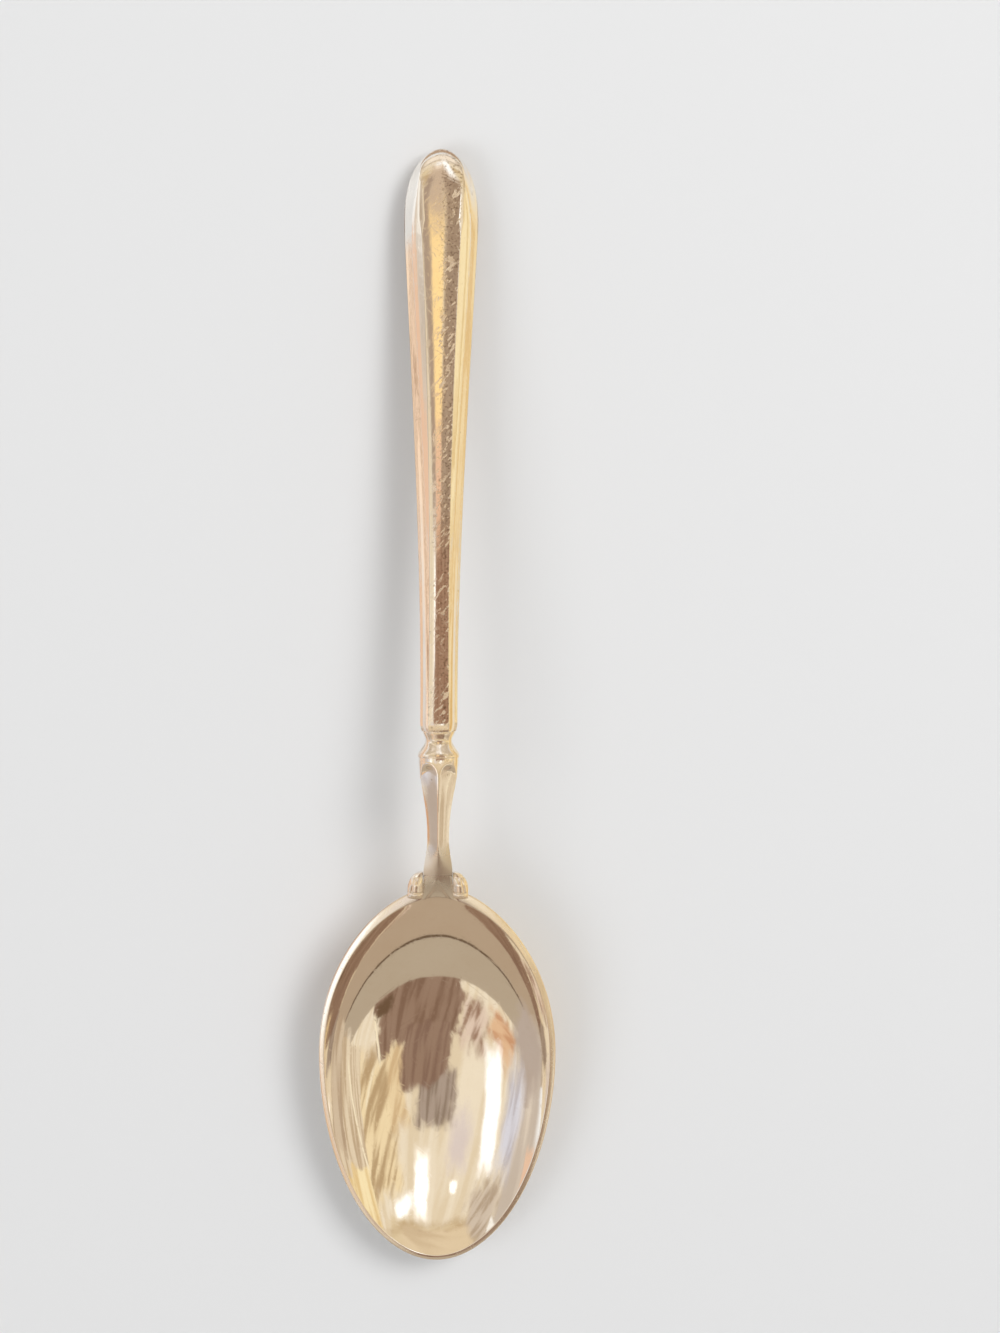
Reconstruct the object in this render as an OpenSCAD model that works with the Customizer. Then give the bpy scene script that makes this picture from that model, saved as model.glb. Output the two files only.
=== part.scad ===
// Teaspoon with a filled handle, lying on a table with its bowl open upwards.
// It runs along Y, with the bowl's tip at -Y and the handle's end at +Y, and Z is up.
// The bowl's lowest point and the underside of the handle's end both touch the table, at z = 0.

/* [Bowl] */
// Distance along the spoon from the bowl's tip to its widest place
bowl_front = 27.9; // [24:0.1:30]
// Distance along the spoon from the widest place to the back of the rim
bowl_rear = 22.9; // [20:0.1:26]
// Width of the bowl over its rim
bowl_width = 29.8; // [26:0.1:33]
// Depth of the hollow below the rim
bowl_depth = 6.2; // [5:0.1:7.5]
// Thickness of the bowl's bottom
bowl_wall = 0.95; // [0.7:0.05:1.3]
// Height of the rim's outer edge
rim_edge = 0.65; // [0.5:0.05:0.85]
// Width of the ground flat on the rim, at the sides and the tip
rim_flat = 0.7; // [0.4:0.05:0.9]
// Width of the ground flat on the rim, at the back
back_flat = 1.5; // [1.1:0.1:1.9]
// How much higher the rim is at its back than at its tip
rim_rise = 4.6; // [3.5:0.1:6]
// Width of the pointed tongue at the back of the bowl, at its root
tongue_width = 1.6; // [1.2:0.1:2]
// Length of the tongue behind the rim
tongue_len = 1.7; // [1.2:0.1:2.2]
// How far the tongue climbs above the line of the rim
tongue_climb = 0.45; // [0.2:0.05:0.6]

/* [Stem] */
// Distance along the spoon from the back of the rim to the collar
stem_len = 16.8; // [14:0.1:20]
// Distance along the spoon from the back of the rim to the thinnest place
neck_at = 6.2; // [5:0.1:7.5]
// Width of the stem at its thinnest place
neck_width = 2.66; // [2.2:0.02:3.2]
// Thickness of the stem at its thinnest place
neck_thickness = 2.3; // [1.9:0.05:2.8]
// Width of the stem beside the bowl's tongue
heel_width = 3.6; // [3:0.05:3.8]
// Thickness of the stem beside the bowl's tongue
heel_thickness = 2.1; // [1.8:0.05:2.4]
// Width of the stem where it meets the collar
shoulder_width = 4.9; // [4.4:0.05:5.6]
// Thickness of the stem where it meets the collar
shoulder_thickness = 4.2; // [3.8:0.05:4.8]
// How far the stem's drop reaches along the back of the bowl
drop_len = 6; // [4:0.1:8]
// Hollow of each long facet below a straight line
facet_hollow = 0.08; // [0:0.01:0.15]
// Angle at which the stem leaves the bowl, in degrees
stem_angle = 14; // [8:0.5:18]
// Height of the collar's centre above the table
collar_height = 12.2; // [10.5:0.1:14]

/* [Scrolls] */
// Width of each scroll from the stem's side outwards
scroll_width = 1.9; // [1.5:0.05:2.2]
// Length of each scroll along the spoon
scroll_len = 3.5; // [3:0.1:4.2]
// Height of each scroll above the rim
scroll_height = 1; // [0.7:0.05:1.3]
// How far each scroll laps over the flat of the rim
scroll_lap = 1.5; // [1:0.05:1.6]

/* [Collar] */
// Length of the collar between the stem and the handle's mouth
collar_len = 3.2; // [2.6:0.1:4]
// Width of the collar's rim
collar_rim_width = 5.08; // [5:0.02:5.8]
// Width of the collar at its waist
collar_waist_width = 3.22; // [2.9:0.02:3.6]
// Thickness of the collar as a share of its width
collar_flat_share = 0.86; // [0.8:0.01:1]
// Length of the spigot that plugs the handle's mouth
spigot_len = 2; // [1.5:0.1:3]

/* [Handle] */
// Length of the handle's shell
handle_len = 70.6; // [60:0.1:85]
// Width of the handle at its mouth
handle_mouth_width = 4.58; // [4.4:0.02:5]
// First control width of the handle's side curve
handle_low_width = 4.12; // [4:0.02:4.6]
// Second control width of the handle's side curve
handle_high_width = 7.82; // [7:0.02:8.6]
// Last control width of the handle's side curve
handle_end_width = 9.84; // [9:0.02:11]
// Thickness of the handle at its mouth
handle_mouth_thickness = 3.9; // [3.7:0.05:4.3]
// Thickness of the handle near its end
handle_end_thickness = 4.8; // [4.2:0.05:5.4]
// Thickness of the sheet that each half of the shell is stamped from
shell_wall = 0.5; // [0.35:0.05:0.6]
// Length over which the sides round in to the end
end_round = 12; // [9:0.5:14]
// Length over which the front and back round down to the end
end_roll = 4.5; // [3:0.25:6]
// Length over which the shell rounds in to its mouth
mouth_round = 1.3; // [0.9:0.1:1.8]
// How far the shell rounds in at its mouth
mouth_inset = 0.3; // [0.15:0.05:0.4]
// Width of the panel between the creases at the handle's mouth
panel_mouth_width = 2.62; // [2.2:0.02:3]
// First control width of the creases' curve
panel_low_width = 1.9; // [1.6:0.02:2.2]
// Second control width of the creases' curve
panel_high_width = 3; // [2.8:0.02:3.6]
// Last control width of the creases' curve
panel_end_width = 5.9; // [5:0.05:6.6]
// Rise of the panel's crown above its creases
panel_crown = 0.16; // [0.05:0.01:0.3]
// Width of the narrow band along each edge
edge_band = 0.34; // [0.2:0.02:0.45]
// Thickness of the soldered seam between the two halves
seam_thickness = 0.12; // [0.08:0.01:0.2]

/* [Tang] */
// Length of the steel tang
tang_len = 48; // [36:1:56]
// Width of the tang
tang_width = 1.6; // [1.3:0.05:1.8]
// Thickness of the tang
tang_thickness = 1.4; // [1.2:0.05:1.6]
// Depth of the tang's socket in the stem
tang_socket = 3; // [2:0.1:4]

/* [Fits] */
// Gap on each side of the tang
tang_clearance = 0.05; // [0.03:0.01:0.1]
// Gap between curved pieces that are soldered together
joint_gap = 0.05; // [0.04:0.01:0.08]
// Thickness of the solder between the stem's drop and the bowl
solder_thickness = 0.12; // [0.08:0.01:0.2]

/* [Hidden] */

// Powers that set how full each outline is: 0.5 is an ellipse, less is squarer and more is pointed
tip_power_share = 0.51;
back_power_share = 0.595;
lip_power_share = 0.56;
// How much fuller than a parabola the hollow's section is
fullness_share = 0.5;
// Places along the spoon, measured from the bowl's tip
widest_y = bowl_front;
rim_back_y = bowl_front + bowl_rear;
tongue_tip_y = rim_back_y + tongue_len;
neck_y = rim_back_y + neck_at;
stem_end_y = rim_back_y + stem_len;
drop_tip_y = rim_back_y - drop_len;
half_bowl = bowl_width / 2;

function sign_power(v, p) = sign(v) * pow(abs(v), p);
function ease(t) = let (u = max(0, min(1, t))) u * u * (3 - 2 * u);
function mix(a, b, t) = a + (b - a) * t;

// Half the width inside an egg outline of two half ovals that meet at the widest place
function egg_half(y, half, front, rear, front_power, rear_power) =
    y < widest_y ? half * pow(max(0, 1 - pow((widest_y - y) / front, 2)), front_power)
                 : half * pow(max(0, 1 - pow((y - widest_y) / rear, 2)), rear_power);
function rim_half(y) = egg_half(y, half_bowl, bowl_front, bowl_rear, tip_power_share, back_power_share);
function lip_half(y) = egg_half(y, half_bowl - rim_flat, bowl_front - rim_flat, bowl_rear - back_flat,
                                tip_power_share, lip_power_share);

// Depth share of the hollow, from 0 on an outline to 1 in the middle of the widest place
function hollow_share(x, half) =
    let (w = max(0, half * half - x * x) / (half_bowl * half_bowl))
    w * (1 + fullness_share) / (1 + fullness_share * w);

// The rim's height before the spoon is set down, with the tongue's climb behind it
function rim_curve(y) =
    rim_rise * pow(y / rim_back_y, 2) + tongue_climb * ease((y - rim_back_y) / tongue_len);
function under_curve(x, y) =
    rim_curve(y) - rim_edge - (bowl_depth + bowl_wall - rim_edge) * hollow_share(x, rim_half(y));
bottom_steps = 200;
set_down = -min([for (i = [0:bottom_steps]) under_curve(0, i / bottom_steps * rim_back_y)]);

function rim_z(y) = set_down + rim_curve(y);
function hollow_z(x, y) = rim_z(y) - bowl_depth * hollow_share(x, lip_half(y));
function under_z(x, y) = set_down + under_curve(x, y);

// The bowl is drawn in rings round its widest place: the outline with the tongue, the outline without it,
// the lip, then shrinking copies of the lip
ring_points = 80;
ring_shares = [1, 0.94, 0.82, 0.66, 0.48, 0.28, 0.12];
function ring_angle(i) = let (k = i % ring_points, half = ring_points / 2)
    k <= half ? 90 * (1 - cos(180 * k / half)) : -90 * (1 - cos(180 * (ring_points - k) / half));
function egg_point(angle, half, front, rear, front_power, rear_power) =
    let (back = abs(angle) > 90, power = back ? rear_power : front_power)
    [half * sign_power(sin(angle), 2 * power), widest_y - (back ? rear : front) * cos(angle)];
function tongue_push(x) = max(0, 1 - abs(x) / (tongue_width / 2));
function rim_point(i) =
    let (p = egg_point(ring_angle(i), half_bowl, bowl_front, bowl_rear, tip_power_share, back_power_share))
    [p.x, p.y + (p.y > widest_y ? tongue_len * tongue_push(p.x) : 0)];
root_share = 0.99;
function root_point(i) =
    let (p = egg_point(ring_angle(i), half_bowl, bowl_front, bowl_rear, tip_power_share, back_power_share))
    [p.x * root_share, widest_y + (p.y - widest_y) * root_share];
function lip_point(i, share) =
    let (p = egg_point(ring_angle(i), half_bowl - rim_flat, bowl_front - rim_flat, bowl_rear - back_flat,
                       tip_power_share, lip_power_share))
    [p.x * share, widest_y + (p.y - widest_y) * share];

// A closed skin over rings of equally many points, with a flat face at each end
module loft(rings) {
    n = len(rings[0]);
    last = len(rings) - 1;
    polyhedron(
        points = [for (ring = rings) each ring],
        faces = concat(
            [[for (i = [0:n - 1]) i]],
            [for (r = [0:last - 1], i = [0:n - 1], half = [0, 1])
                let (a = r * n + i, b = r * n + (i + 1) % n)
                half == 0 ? [a, a + n, b] : [b, a + n, b + n]],
            [[for (i = [n - 1:-1:0]) last * n + i]]));
}

module bowl_body() {
    last = len(ring_shares) - 1;
    rings = concat(
        [for (s = [last:-1:0]) [for (i = [0:ring_points - 1])
            let (p = lip_point(i, ring_shares[s])) [p.x, p.y, under_z(p.x, p.y)]]],
        [[for (i = [0:ring_points - 1]) let (p = root_point(i)) [p.x, p.y, under_z(p.x, p.y)]]],
        [[for (i = [0:ring_points - 1]) let (p = rim_point(i)) [p.x, p.y, rim_z(p.y) - rim_edge]]],
        [[for (i = [0:ring_points - 1]) let (p = rim_point(i)) [p.x, p.y, rim_z(p.y)]]],
        [[for (i = [0:ring_points - 1]) let (p = root_point(i)) [p.x, p.y, rim_z(p.y)]]],
        [for (s = [0:last]) [for (i = [0:ring_points - 1])
            let (p = lip_point(i, ring_shares[s])) [p.x, p.y, hollow_z(p.x, p.y)]]]);
    count = len(rings);
    n = ring_points;
    middle = [[0, widest_y, under_z(0, widest_y)], [0, widest_y, hollow_z(0, widest_y)]];
    polyhedron(
        points = concat([for (ring = rings) each ring], middle),
        faces = concat(
            [for (i = [0:n - 1]) [count * n, i, (i + 1) % n]],
            [for (r = [0:count - 2], i = [0:n - 1], half = [0, 1])
                let (a = r * n + i, b = r * n + (i + 1) % n)
                half == 0 ? [a, a + n, b] : [b, a + n, b + n]],
            [for (i = [0:n - 1]) [count * n + 1, (count - 1) * n + (i + 1) % n, (count - 1) * n + i]]));
}

// The stem's centre line rises from the heel and bends over to the handle's pitch
heel_stand_share = 0.35;
heel_centre_drop = heel_thickness / 2 - heel_stand_share * heel_thickness;
heel_y = rim_back_y;
heel_z = rim_z(heel_y) - heel_centre_drop;
stem_run = stem_end_y - heel_y;
function stem_z(y) = let (t = (y - heel_y) / stem_run, t2 = t * t, t3 = t2 * t)
    (2 * t3 - 3 * t2 + 1) * heel_z + (t3 - 2 * t2 + t) * stem_run * tan(stem_angle)
    + (3 * t2 - 2 * t3) * collar_height - (t3 - t2) * stem_run * tan(pitch);
swell_power_share = 1.3;
function swell(y) = ease(pow(max(0, (y - neck_y) / (stem_end_y - neck_y)), swell_power_share));
heel_run_share = 0.75;
function heel_ease(y) = ease((neck_y - y) / (heel_run_share * neck_at));
function stem_half(y) = mix(mix(neck_width, heel_width, heel_ease(y)), shoulder_width, swell(y)) / 2;
function stem_half_thickness(y) =
    mix(mix(neck_thickness, heel_thickness, heel_ease(y)), shoulder_thickness, swell(y)) / 2;
function stem_tilt(y) = pitch * ease((y - neck_y) / (stem_end_y - neck_y));

// A stem section from the ridge to the side: two hollow facets, which end in arches below a round band
ridge_shares = [0, 0.25, 0.5, 0.78, 1];
side_share = 0.3;
band_len_share = 0.03;
arch_len_share = 0.06;
fade_len_share = 0.12;
function facet_mask(y, s) =
    ease((stem_end_y - stem_len * (band_len_share + arch_len_share * pow(2 * s - 1, 2)) - y)
         / (fade_len_share * stem_len));
function facet_n(y, s) = let (t = stem_half_thickness(y))
    mix(t * sqrt(max(0, 1 - s * s)),
        t * (1 - (1 - side_share) * s) - 4 * facet_hollow * s * (1 - s), facet_mask(y, s));
belly_shares = [[1, -0.18], [0.86, -0.6], [0.5, -0.9], [0, -1]];

function stem_point(y, x, n) = let (a = stem_tilt(y)) [x, y + n * sin(a), stem_z(y) + n * cos(a)];
function mirror_ring(right) =
    concat(right, [for (i = [len(right) - 2:-1:1]) [-right[i].x, right[i].y, right[i].z]]);
function stem_ring(y) = let (h = stem_half(y), t = stem_half_thickness(y))
    mirror_ring(concat([for (s = ridge_shares) stem_point(y, h * s, facet_n(y, s))],
                       [for (b = belly_shares) stem_point(y, h * b[0], t * b[1])]));

// Beside the tongue the ridge is cut away to the underside of the bowl, with the solder's room
seat_gap = solder_thickness + 2 * joint_gap;
function tongue_half(y) = tongue_width / 2 * min(1, (tongue_tip_y + seat_gap - y) / tongue_len);
function notch_ring(y) =
    let (h = stem_half(y), t = stem_half_thickness(y), a = tongue_half(y) + joint_gap, b = a + joint_gap,
         c = (b + h) / 2)
    mirror_ring(concat(
        [for (x = [0, a]) [x, y, under_z(x, y) - seat_gap]],
        [for (x = [b, c, h]) stem_point(y, x, facet_n(y, x / h))],
        [for (q = belly_shares) stem_point(y, h * q[0], t * q[1])]));

// Under the bowl the stem thins to a drop whose top follows the bowl's back
drop_shares = [0.02, 0.12, 0.3, 0.5, 0.75, 1];
heel_under = heel_centre_drop + heel_thickness / 2 - rim_edge - seat_gap;
function drop_y(t) = mix(drop_tip_y, rim_back_y + joint_gap, t);
function drop_half(t) = heel_width / 2 * sqrt(t);
function drop_ring(t) = let (y = drop_y(t), h = drop_half(t), d = heel_under * sqrt(t))
    mirror_ring(concat([for (s = ridge_shares) [h * s, y, under_z(h * s, y) - seat_gap]],
                       [for (b = belly_shares) [h * b[0], y, under_z(h * b[0], y) - seat_gap + d * b[1]]]));

notch_steps = 5;
stem_steps = 24;
step_gap = 3 * joint_gap;
module stem_body() {
    loft(concat(
        [for (t = drop_shares) drop_ring(t)],
        [for (i = [0:notch_steps])
            notch_ring(mix(rim_back_y + step_gap, tongue_tip_y + seat_gap, i / notch_steps))],
        [for (i = [1:stem_steps])
            stem_ring(mix(tongue_tip_y + seat_gap, stem_end_y, i / stem_steps))]));
}

// The solder is a thin sheet in the room between the drop's top and the bowl's back
solder_shares = [0.12, 0.3, 0.5, 0.75, 0.95];
solder_spread_share = 0.8;
function solder_ring(t) = let (y = drop_y(t), h = drop_half(t) * solder_spread_share)
    [for (side = [0, 1], x = side == 0 ? [-h, 0, h] : [h, 0, -h])
        [x, y, under_z(x, y) - joint_gap - side * solder_thickness]];

// A scroll runs down the stem's side and laps over the flat of the rim
scroll_steps = 12;
lap_steps = 4;
scroll_top_y = rim_back_y + scroll_len - scroll_lap;
scroll_sink = (heel_thickness - heel_centre_drop) / 4;
scroll_shares = [[0, 0.5], [0.2, 0.86], [0.45, 1], [0.7, 0.92], [0.88, 0.66], [1, 0.3]];
scroll_start_share = 0.15;
scroll_flare_share = 0.7;
scroll_low_share = 0.35;
scroll_climb_share = 0.5;
scroll_nose_share = 0.18;
scroll_nose_depth_share = 0.24;
function rim_line(y) = set_down + rim_rise * pow(y / rim_back_y, 2);
function scroll_wide(t) =
    scroll_width * max(scroll_start_share, sqrt(1 - pow(max(0, 1 - t / scroll_flare_share), 2)));
function scroll_nose(t) = sqrt(1 - pow(max(0, t - 1 + scroll_nose_share) / scroll_nose_depth_share, 2));
function scroll_lift(t) =
    scroll_height * max(scroll_low_share, ease(t / scroll_climb_share)) * scroll_nose(t);
function scroll_ring(y, bottom) =
    let (t = (scroll_top_y - y) / scroll_len, w = scroll_wide(t), lift = scroll_lift(t),
         inner = max(stem_half(y), y < rim_back_y ? heel_width / 2 : 0) + joint_gap)
    concat([for (q = scroll_shares) [inner + w * q[0], y, rim_line(y) + joint_gap + lift * q[1]]],
           [[inner + w, y, rim_line(y) + bottom], [inner, y, rim_line(y) + bottom]]);
module scroll_body() {
    over = [for (i = [0:scroll_steps])
        scroll_ring(mix(scroll_top_y, rim_back_y + 2 * joint_gap, i / scroll_steps), -scroll_sink)];
    lap = [for (i = [0:lap_steps])
        scroll_ring(mix(rim_back_y + joint_gap, rim_back_y - scroll_lap, i / lap_steps), joint_gap)];
    loft(concat(over, lap));
}

// Half widths and heights of the handle's shell, measured from its mouth
side_power_share = 0.58;
side_end_share = 3;
roll_power_share = 0.5;
roll_end_share = 2.5;
crease_limit_share = 0.92;
crease_blend = 6;
band_limit_share = 0.4;
band_height_share = 0.34;
function bezier(a, b, c, d, t) =
    let (u = 1 - t) u * u * u * a + 3 * u * u * t * b + 3 * u * t * t * c + t * t * t * d;
function side_curve(s) =
    bezier(handle_mouth_width, handle_low_width, handle_high_width, handle_end_width, s / handle_len) / 2;
function crease_curve(s) =
    bezier(panel_mouth_width, panel_low_width, panel_high_width, panel_end_width, s / handle_len) / 2;
function mouth_cut(s) =
    s < mouth_round ? mouth_inset * (1 - sqrt(1 - pow(1 - s / mouth_round, 2))) : 0;
function end_taper(s, run, power, root) =
    pow(max(0, 1 - pow(max(0, (s - handle_len + run) / run), power)), root);
function handle_half(s) =
    (side_curve(s) - mouth_cut(s)) * end_taper(s, end_round, side_end_share, side_power_share);
function handle_roll(s) = end_taper(s, end_roll, roll_end_share, roll_power_share);
function rise_line(s) = mix(handle_mouth_thickness, handle_end_thickness, s / handle_len) / 2;
function handle_rise(s) = (rise_line(s) - mouth_cut(s)) * handle_roll(s);

// Share of the half width at which the crease lies, which stays below its limit where the end rounds in
function crease_share(s) = let (k = crease_blend)
    pow(pow(crease_curve(s) / handle_half(s), -k) + pow(crease_limit_share, -k), -1 / k);

// The front half of the shell's section at s, shrunk by cut: over the panel from the left edge to the right.
// Its heights are measured from the seam
bevel_bulge_share = 0.1;
crown_fall_share = 0.25;
half_seam = seam_thickness / 2;
function side_shrink(s, cut) = 1 - cut / side_curve(s);
function handle_section(s, cut) =
    let (a = handle_half(s), b = handle_rise(s) - half_seam, c = band_height_share * b,
         p = a * crease_share(s), gap = a - p, band = min(edge_band, band_limit_share * gap),
         crown = panel_crown * handle_roll(s), bulge = bevel_bulge_share * min(b - c, gap),
         right = [[0, b + crown], [p / 2, b + crown * (1 - crown_fall_share)], [p, b],
                  [(p + a - band + bulge) / 2, (b + c + bulge) / 2], [a - band, c], [a, c / 2], [a, 0]],
         half = [for (q = right)
             [q.x * side_shrink(s, cut), half_seam + q.y * (1 - cut / rise_line(s))]])
    concat([for (i = [len(half) - 1:-1:1]) [-half[i].x, half[i].y]], half);

// Places along the shell: close together where it rounds, at the mouth and the end
mouth_shares = [0, 0.12, 0.35, 0.65];
body_steps = 16;
end_steps = 12;
tip_flat_share = 0.004;
shell_places = concat(
    [for (m = mouth_shares) m * mouth_round],
    [for (i = [0:body_steps - 1]) mix(mouth_round, handle_len - end_round, i / body_steps)],
    [for (i = [0:end_steps]) handle_len - end_round * max(tip_flat_share, 1 - sin(90 * i / end_steps))]);
end_wall = 2 * shell_wall;
function inner_place(s, wall) = s * (1 - wall / handle_len);
function upright(points, s) = [for (p = points) [p.x, s, p.y]];

// The handle's pitch lets the lowest place on the underside of its far half touch the table
function under_drop(s) = handle_rise(s) + panel_crown * handle_roll(s);
function touch_pitch(y, drop) = asin(collar_height / norm([y, drop])) - atan(drop / y);
pitch = min([for (s = shell_places) if (s > handle_len / 2) touch_pitch(collar_len + s, under_drop(s))]);
spoon_len = stem_end_y + (collar_len + handle_len) * cos(pitch);

// Sets a piece down whose own Y runs along the handle from the stem's end
module along_handle() {
    translate([0, stem_end_y, collar_height]) rotate([-pitch, 0, 0]) children();
}

module shell_half() {
    k = len(handle_section(0, 0));
    last = len(shell_places) - 1;
    n = 2 * k;
    rings = [for (s = shell_places) concat(
        upright(handle_section(s, 0), s),
        let (inner = upright(handle_section(s, shell_wall), inner_place(s, end_wall)))
        [for (i = [k - 1:-1:0]) inner[i]])];
    polyhedron(
        points = [for (ring = rings) each ring],
        faces = concat(
            [[for (i = [0:n - 1]) i]],
            [for (r = [0:last - 1], i = [0:n - 1], half = [0, 1])
                let (a = r * n + i, b = r * n + (i + 1) % n)
                half == 0 ? [a, a + n, b] : [b, a + n, b + n]],
            [[for (i = [k - 1:-1:0]) last * n + i]],
            [[for (i = [n - 1:-1:k]) last * n + i]],
            [[last * n + n - 1, last * n + k, last * n + k - 1, last * n]]));
}

module seam_strip() {
    last = len(shell_places) - 1;
    outer = [for (s = shell_places) [handle_half(s), s]];
    inner = [for (s = shell_places)
        [handle_half(s) * side_shrink(s, shell_wall), inner_place(s, end_wall)]];
    translate([0, 0, -half_seam]) linear_extrude(seam_thickness) polygon(concat(
        outer, [for (i = [last:-1:0]) [-outer[i].x, outer[i].y]],
        [for (p = inner) [-p.x, p.y]], [for (i = [last:-1:0]) inner[i]]));
}

// A whole section of the handle's inside, front half and back half
function whole_section(s, cut) = let (front = handle_section(s, cut), k = len(front))
    concat(front, [for (i = [k - 1:-1:0]) [front[i].x, -front[i].y]]);

// The pocket round the tang has a corner a quarter of the way along each half of the section
corner_share = 0.25;
seam_share = 0.1;
function pocket_point(f, w, t) =
    f <= corner_share ? [-w, t * mix(seam_share, 1, f / corner_share)]
    : f < 1 - corner_share ? [w * (2 * f - 1) / (1 - 2 * corner_share), t]
    : [w, t * mix(seam_share, 1, (1 - f) / corner_share)];
function pocket_ring(s) =
    let (k = len(handle_section(0, 0)),
         half = [for (i = [0:k - 1]) pocket_point(i / (k - 1), tang_width / 2 + tang_clearance,
                                                  tang_thickness / 2 + tang_clearance)])
    concat(upright(half, s), upright([for (i = [k - 1:-1:0]) [half[i].x, -half[i].y]], s));

module filling_body() {
    start = spigot_len + 2 * joint_gap;
    pocket_end = tang_len - tang_socket - collar_len + tang_clearance;
    places = concat([start], [for (s = shell_places) if (s > start + joint_gap) s]);
    loft(concat([pocket_ring(pocket_end), pocket_ring(inner_place(start, end_wall + joint_gap))],
        [for (s = places)
            upright(whole_section(s, shell_wall + joint_gap), inner_place(s, end_wall + joint_gap))]));
}

// The collar is a waisted oval loft, stepped in where its spigot enters the handle's mouth
collar_steps = 14;
collar_lip_share = 0.04;
waist_at_share = 0.66;
waist_end_share = 0.99;
function collar_half(u) = let (w = waist_at_share)
    mix(collar_waist_width, u < w ? collar_rim_width : 2 * handle_half(0) * waist_end_share,
        ease(u < w ? (w - u) / (w - collar_lip_share) : (u - w) / (1 - w))) / 2;
seam_angle = 1;
function collar_ring(u, half) =
    let (k = len(handle_section(0, 0)),
         angles = [for (i = [0:k - 1]) mix(180 - seam_angle, seam_angle, i / (k - 1))])
    [for (side = [1, -1], i = [0:k - 1]) let (angle = side * angles[side > 0 ? i : k - 1 - i])
        [half * cos(angle), u, half * collar_flat_share * sin(angle)]];
module collar_body() {
    loft(concat(
        [collar_ring(0, collar_half(0) * (1 - collar_lip_share / 2))],
        [for (i = [0:collar_steps]) let (u = mix(collar_lip_share, 1, i / collar_steps))
            collar_ring(u * collar_len, collar_half(u))],
        [for (v = [0, spigot_len]) upright(whole_section(0, shell_wall + joint_gap), collar_len + v)]));
}

module bowl() {
    color("gainsboro") bowl_body();
}

module stem() {
    color("silver") difference() {
        stem_body();
        along_handle() tang_bar(tang_clearance);
    }
}

module tang_bar(clearance) {
    translate([-tang_width / 2 - clearance, -tang_socket - clearance, -tang_thickness / 2 - clearance])
        cube([tang_width + 2 * clearance, tang_len + 2 * clearance, tang_thickness + 2 * clearance]);
}

module left_scroll() {
    color("gainsboro") mirror([1, 0, 0]) scroll_body();
}

module right_scroll() {
    color("gainsboro") scroll_body();
}

module heel_solder() {
    color("lightgray") loft([for (t = solder_shares) solder_ring(t)]);
}

module collar() {
    color("silver") along_handle() difference() {
        collar_body();
        tang_bar(tang_clearance);
    }
}

module tang() {
    color("dimgray") along_handle() tang_bar(0);
}

module handle_front() {
    color("wheat") along_handle() translate([0, collar_len, 0]) shell_half();
}

module handle_back() {
    color("wheat") along_handle() translate([0, collar_len, 0]) mirror([0, 0, 1]) shell_half();
}

module seam_solder() {
    color("lightgray") along_handle() translate([0, collar_len, 0]) seam_strip();
}

module handle_filling() {
    color("saddlebrown") along_handle() translate([0, collar_len, 0]) filling_body();
}

// The spoon is drawn from its bowl's tip, and set with the middle of its length at the origin
module place() {
    translate([0, -spoon_len / 2, 0]) children();
}

place() bowl();
place() stem();
place() left_scroll();
place() right_scroll();
place() heel_solder();
place() collar();
place() tang();
place() handle_front();
place() handle_back();
place() seam_solder();
place() handle_filling();
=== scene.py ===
import math
from functools import partial

import bmesh
import bpy
import numpy as np
from bpy.props import FloatProperty, FloatVectorProperty, PointerProperty
from bpy.types import Operator, Panel, PropertyGroup
from mathutils import Matrix, Vector


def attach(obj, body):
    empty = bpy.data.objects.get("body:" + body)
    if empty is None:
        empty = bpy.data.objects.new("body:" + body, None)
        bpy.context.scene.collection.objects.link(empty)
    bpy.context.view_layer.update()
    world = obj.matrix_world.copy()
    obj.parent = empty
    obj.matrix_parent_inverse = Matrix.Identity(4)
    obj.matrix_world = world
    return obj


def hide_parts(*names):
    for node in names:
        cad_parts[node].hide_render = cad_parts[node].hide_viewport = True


bl_info = {
    "name": "Filled-handle teaspoon",
    "version": (1, 0, 0),
    "blender": (4, 5, 0),
    "location": "View3D > Sidebar > Teaspoon",
    "description": "Dresses a teaspoon with smooth worn silver pieces on a pale floor",
    "category": "Object",
}

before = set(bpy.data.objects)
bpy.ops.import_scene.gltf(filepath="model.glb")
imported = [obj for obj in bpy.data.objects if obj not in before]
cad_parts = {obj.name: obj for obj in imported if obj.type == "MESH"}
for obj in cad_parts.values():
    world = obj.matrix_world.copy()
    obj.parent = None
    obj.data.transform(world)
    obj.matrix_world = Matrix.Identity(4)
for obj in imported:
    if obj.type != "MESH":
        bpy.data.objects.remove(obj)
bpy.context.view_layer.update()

MM = 0.001
BUMP_UNIT = 0.004 * MM


def length(name, description, default):
    """A length, given in millimetres, that the sidebar shows as a distance."""
    return FloatProperty(name=name, description=description, default=default * MM, min=0, max=0.2,
                         unit="LENGTH", precision=5)


def curve(name, description, *controls):
    """The four control lengths of a curve, given in millimetres."""
    return FloatVectorProperty(name=name, description=description, size=4, unit="LENGTH", precision=5,
                               default=tuple(value * MM for value in controls))


def share(name, description, default):
    """A plain ratio."""
    return FloatProperty(name=name, description=description, default=default, min=0, max=4,
                         subtype="FACTOR")


def colour(name, description, default):
    """A linear colour."""
    return FloatVectorProperty(name=name, description=description, default=default, size=3,
                               min=0.0, max=1.0, subtype="COLOR")


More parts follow.
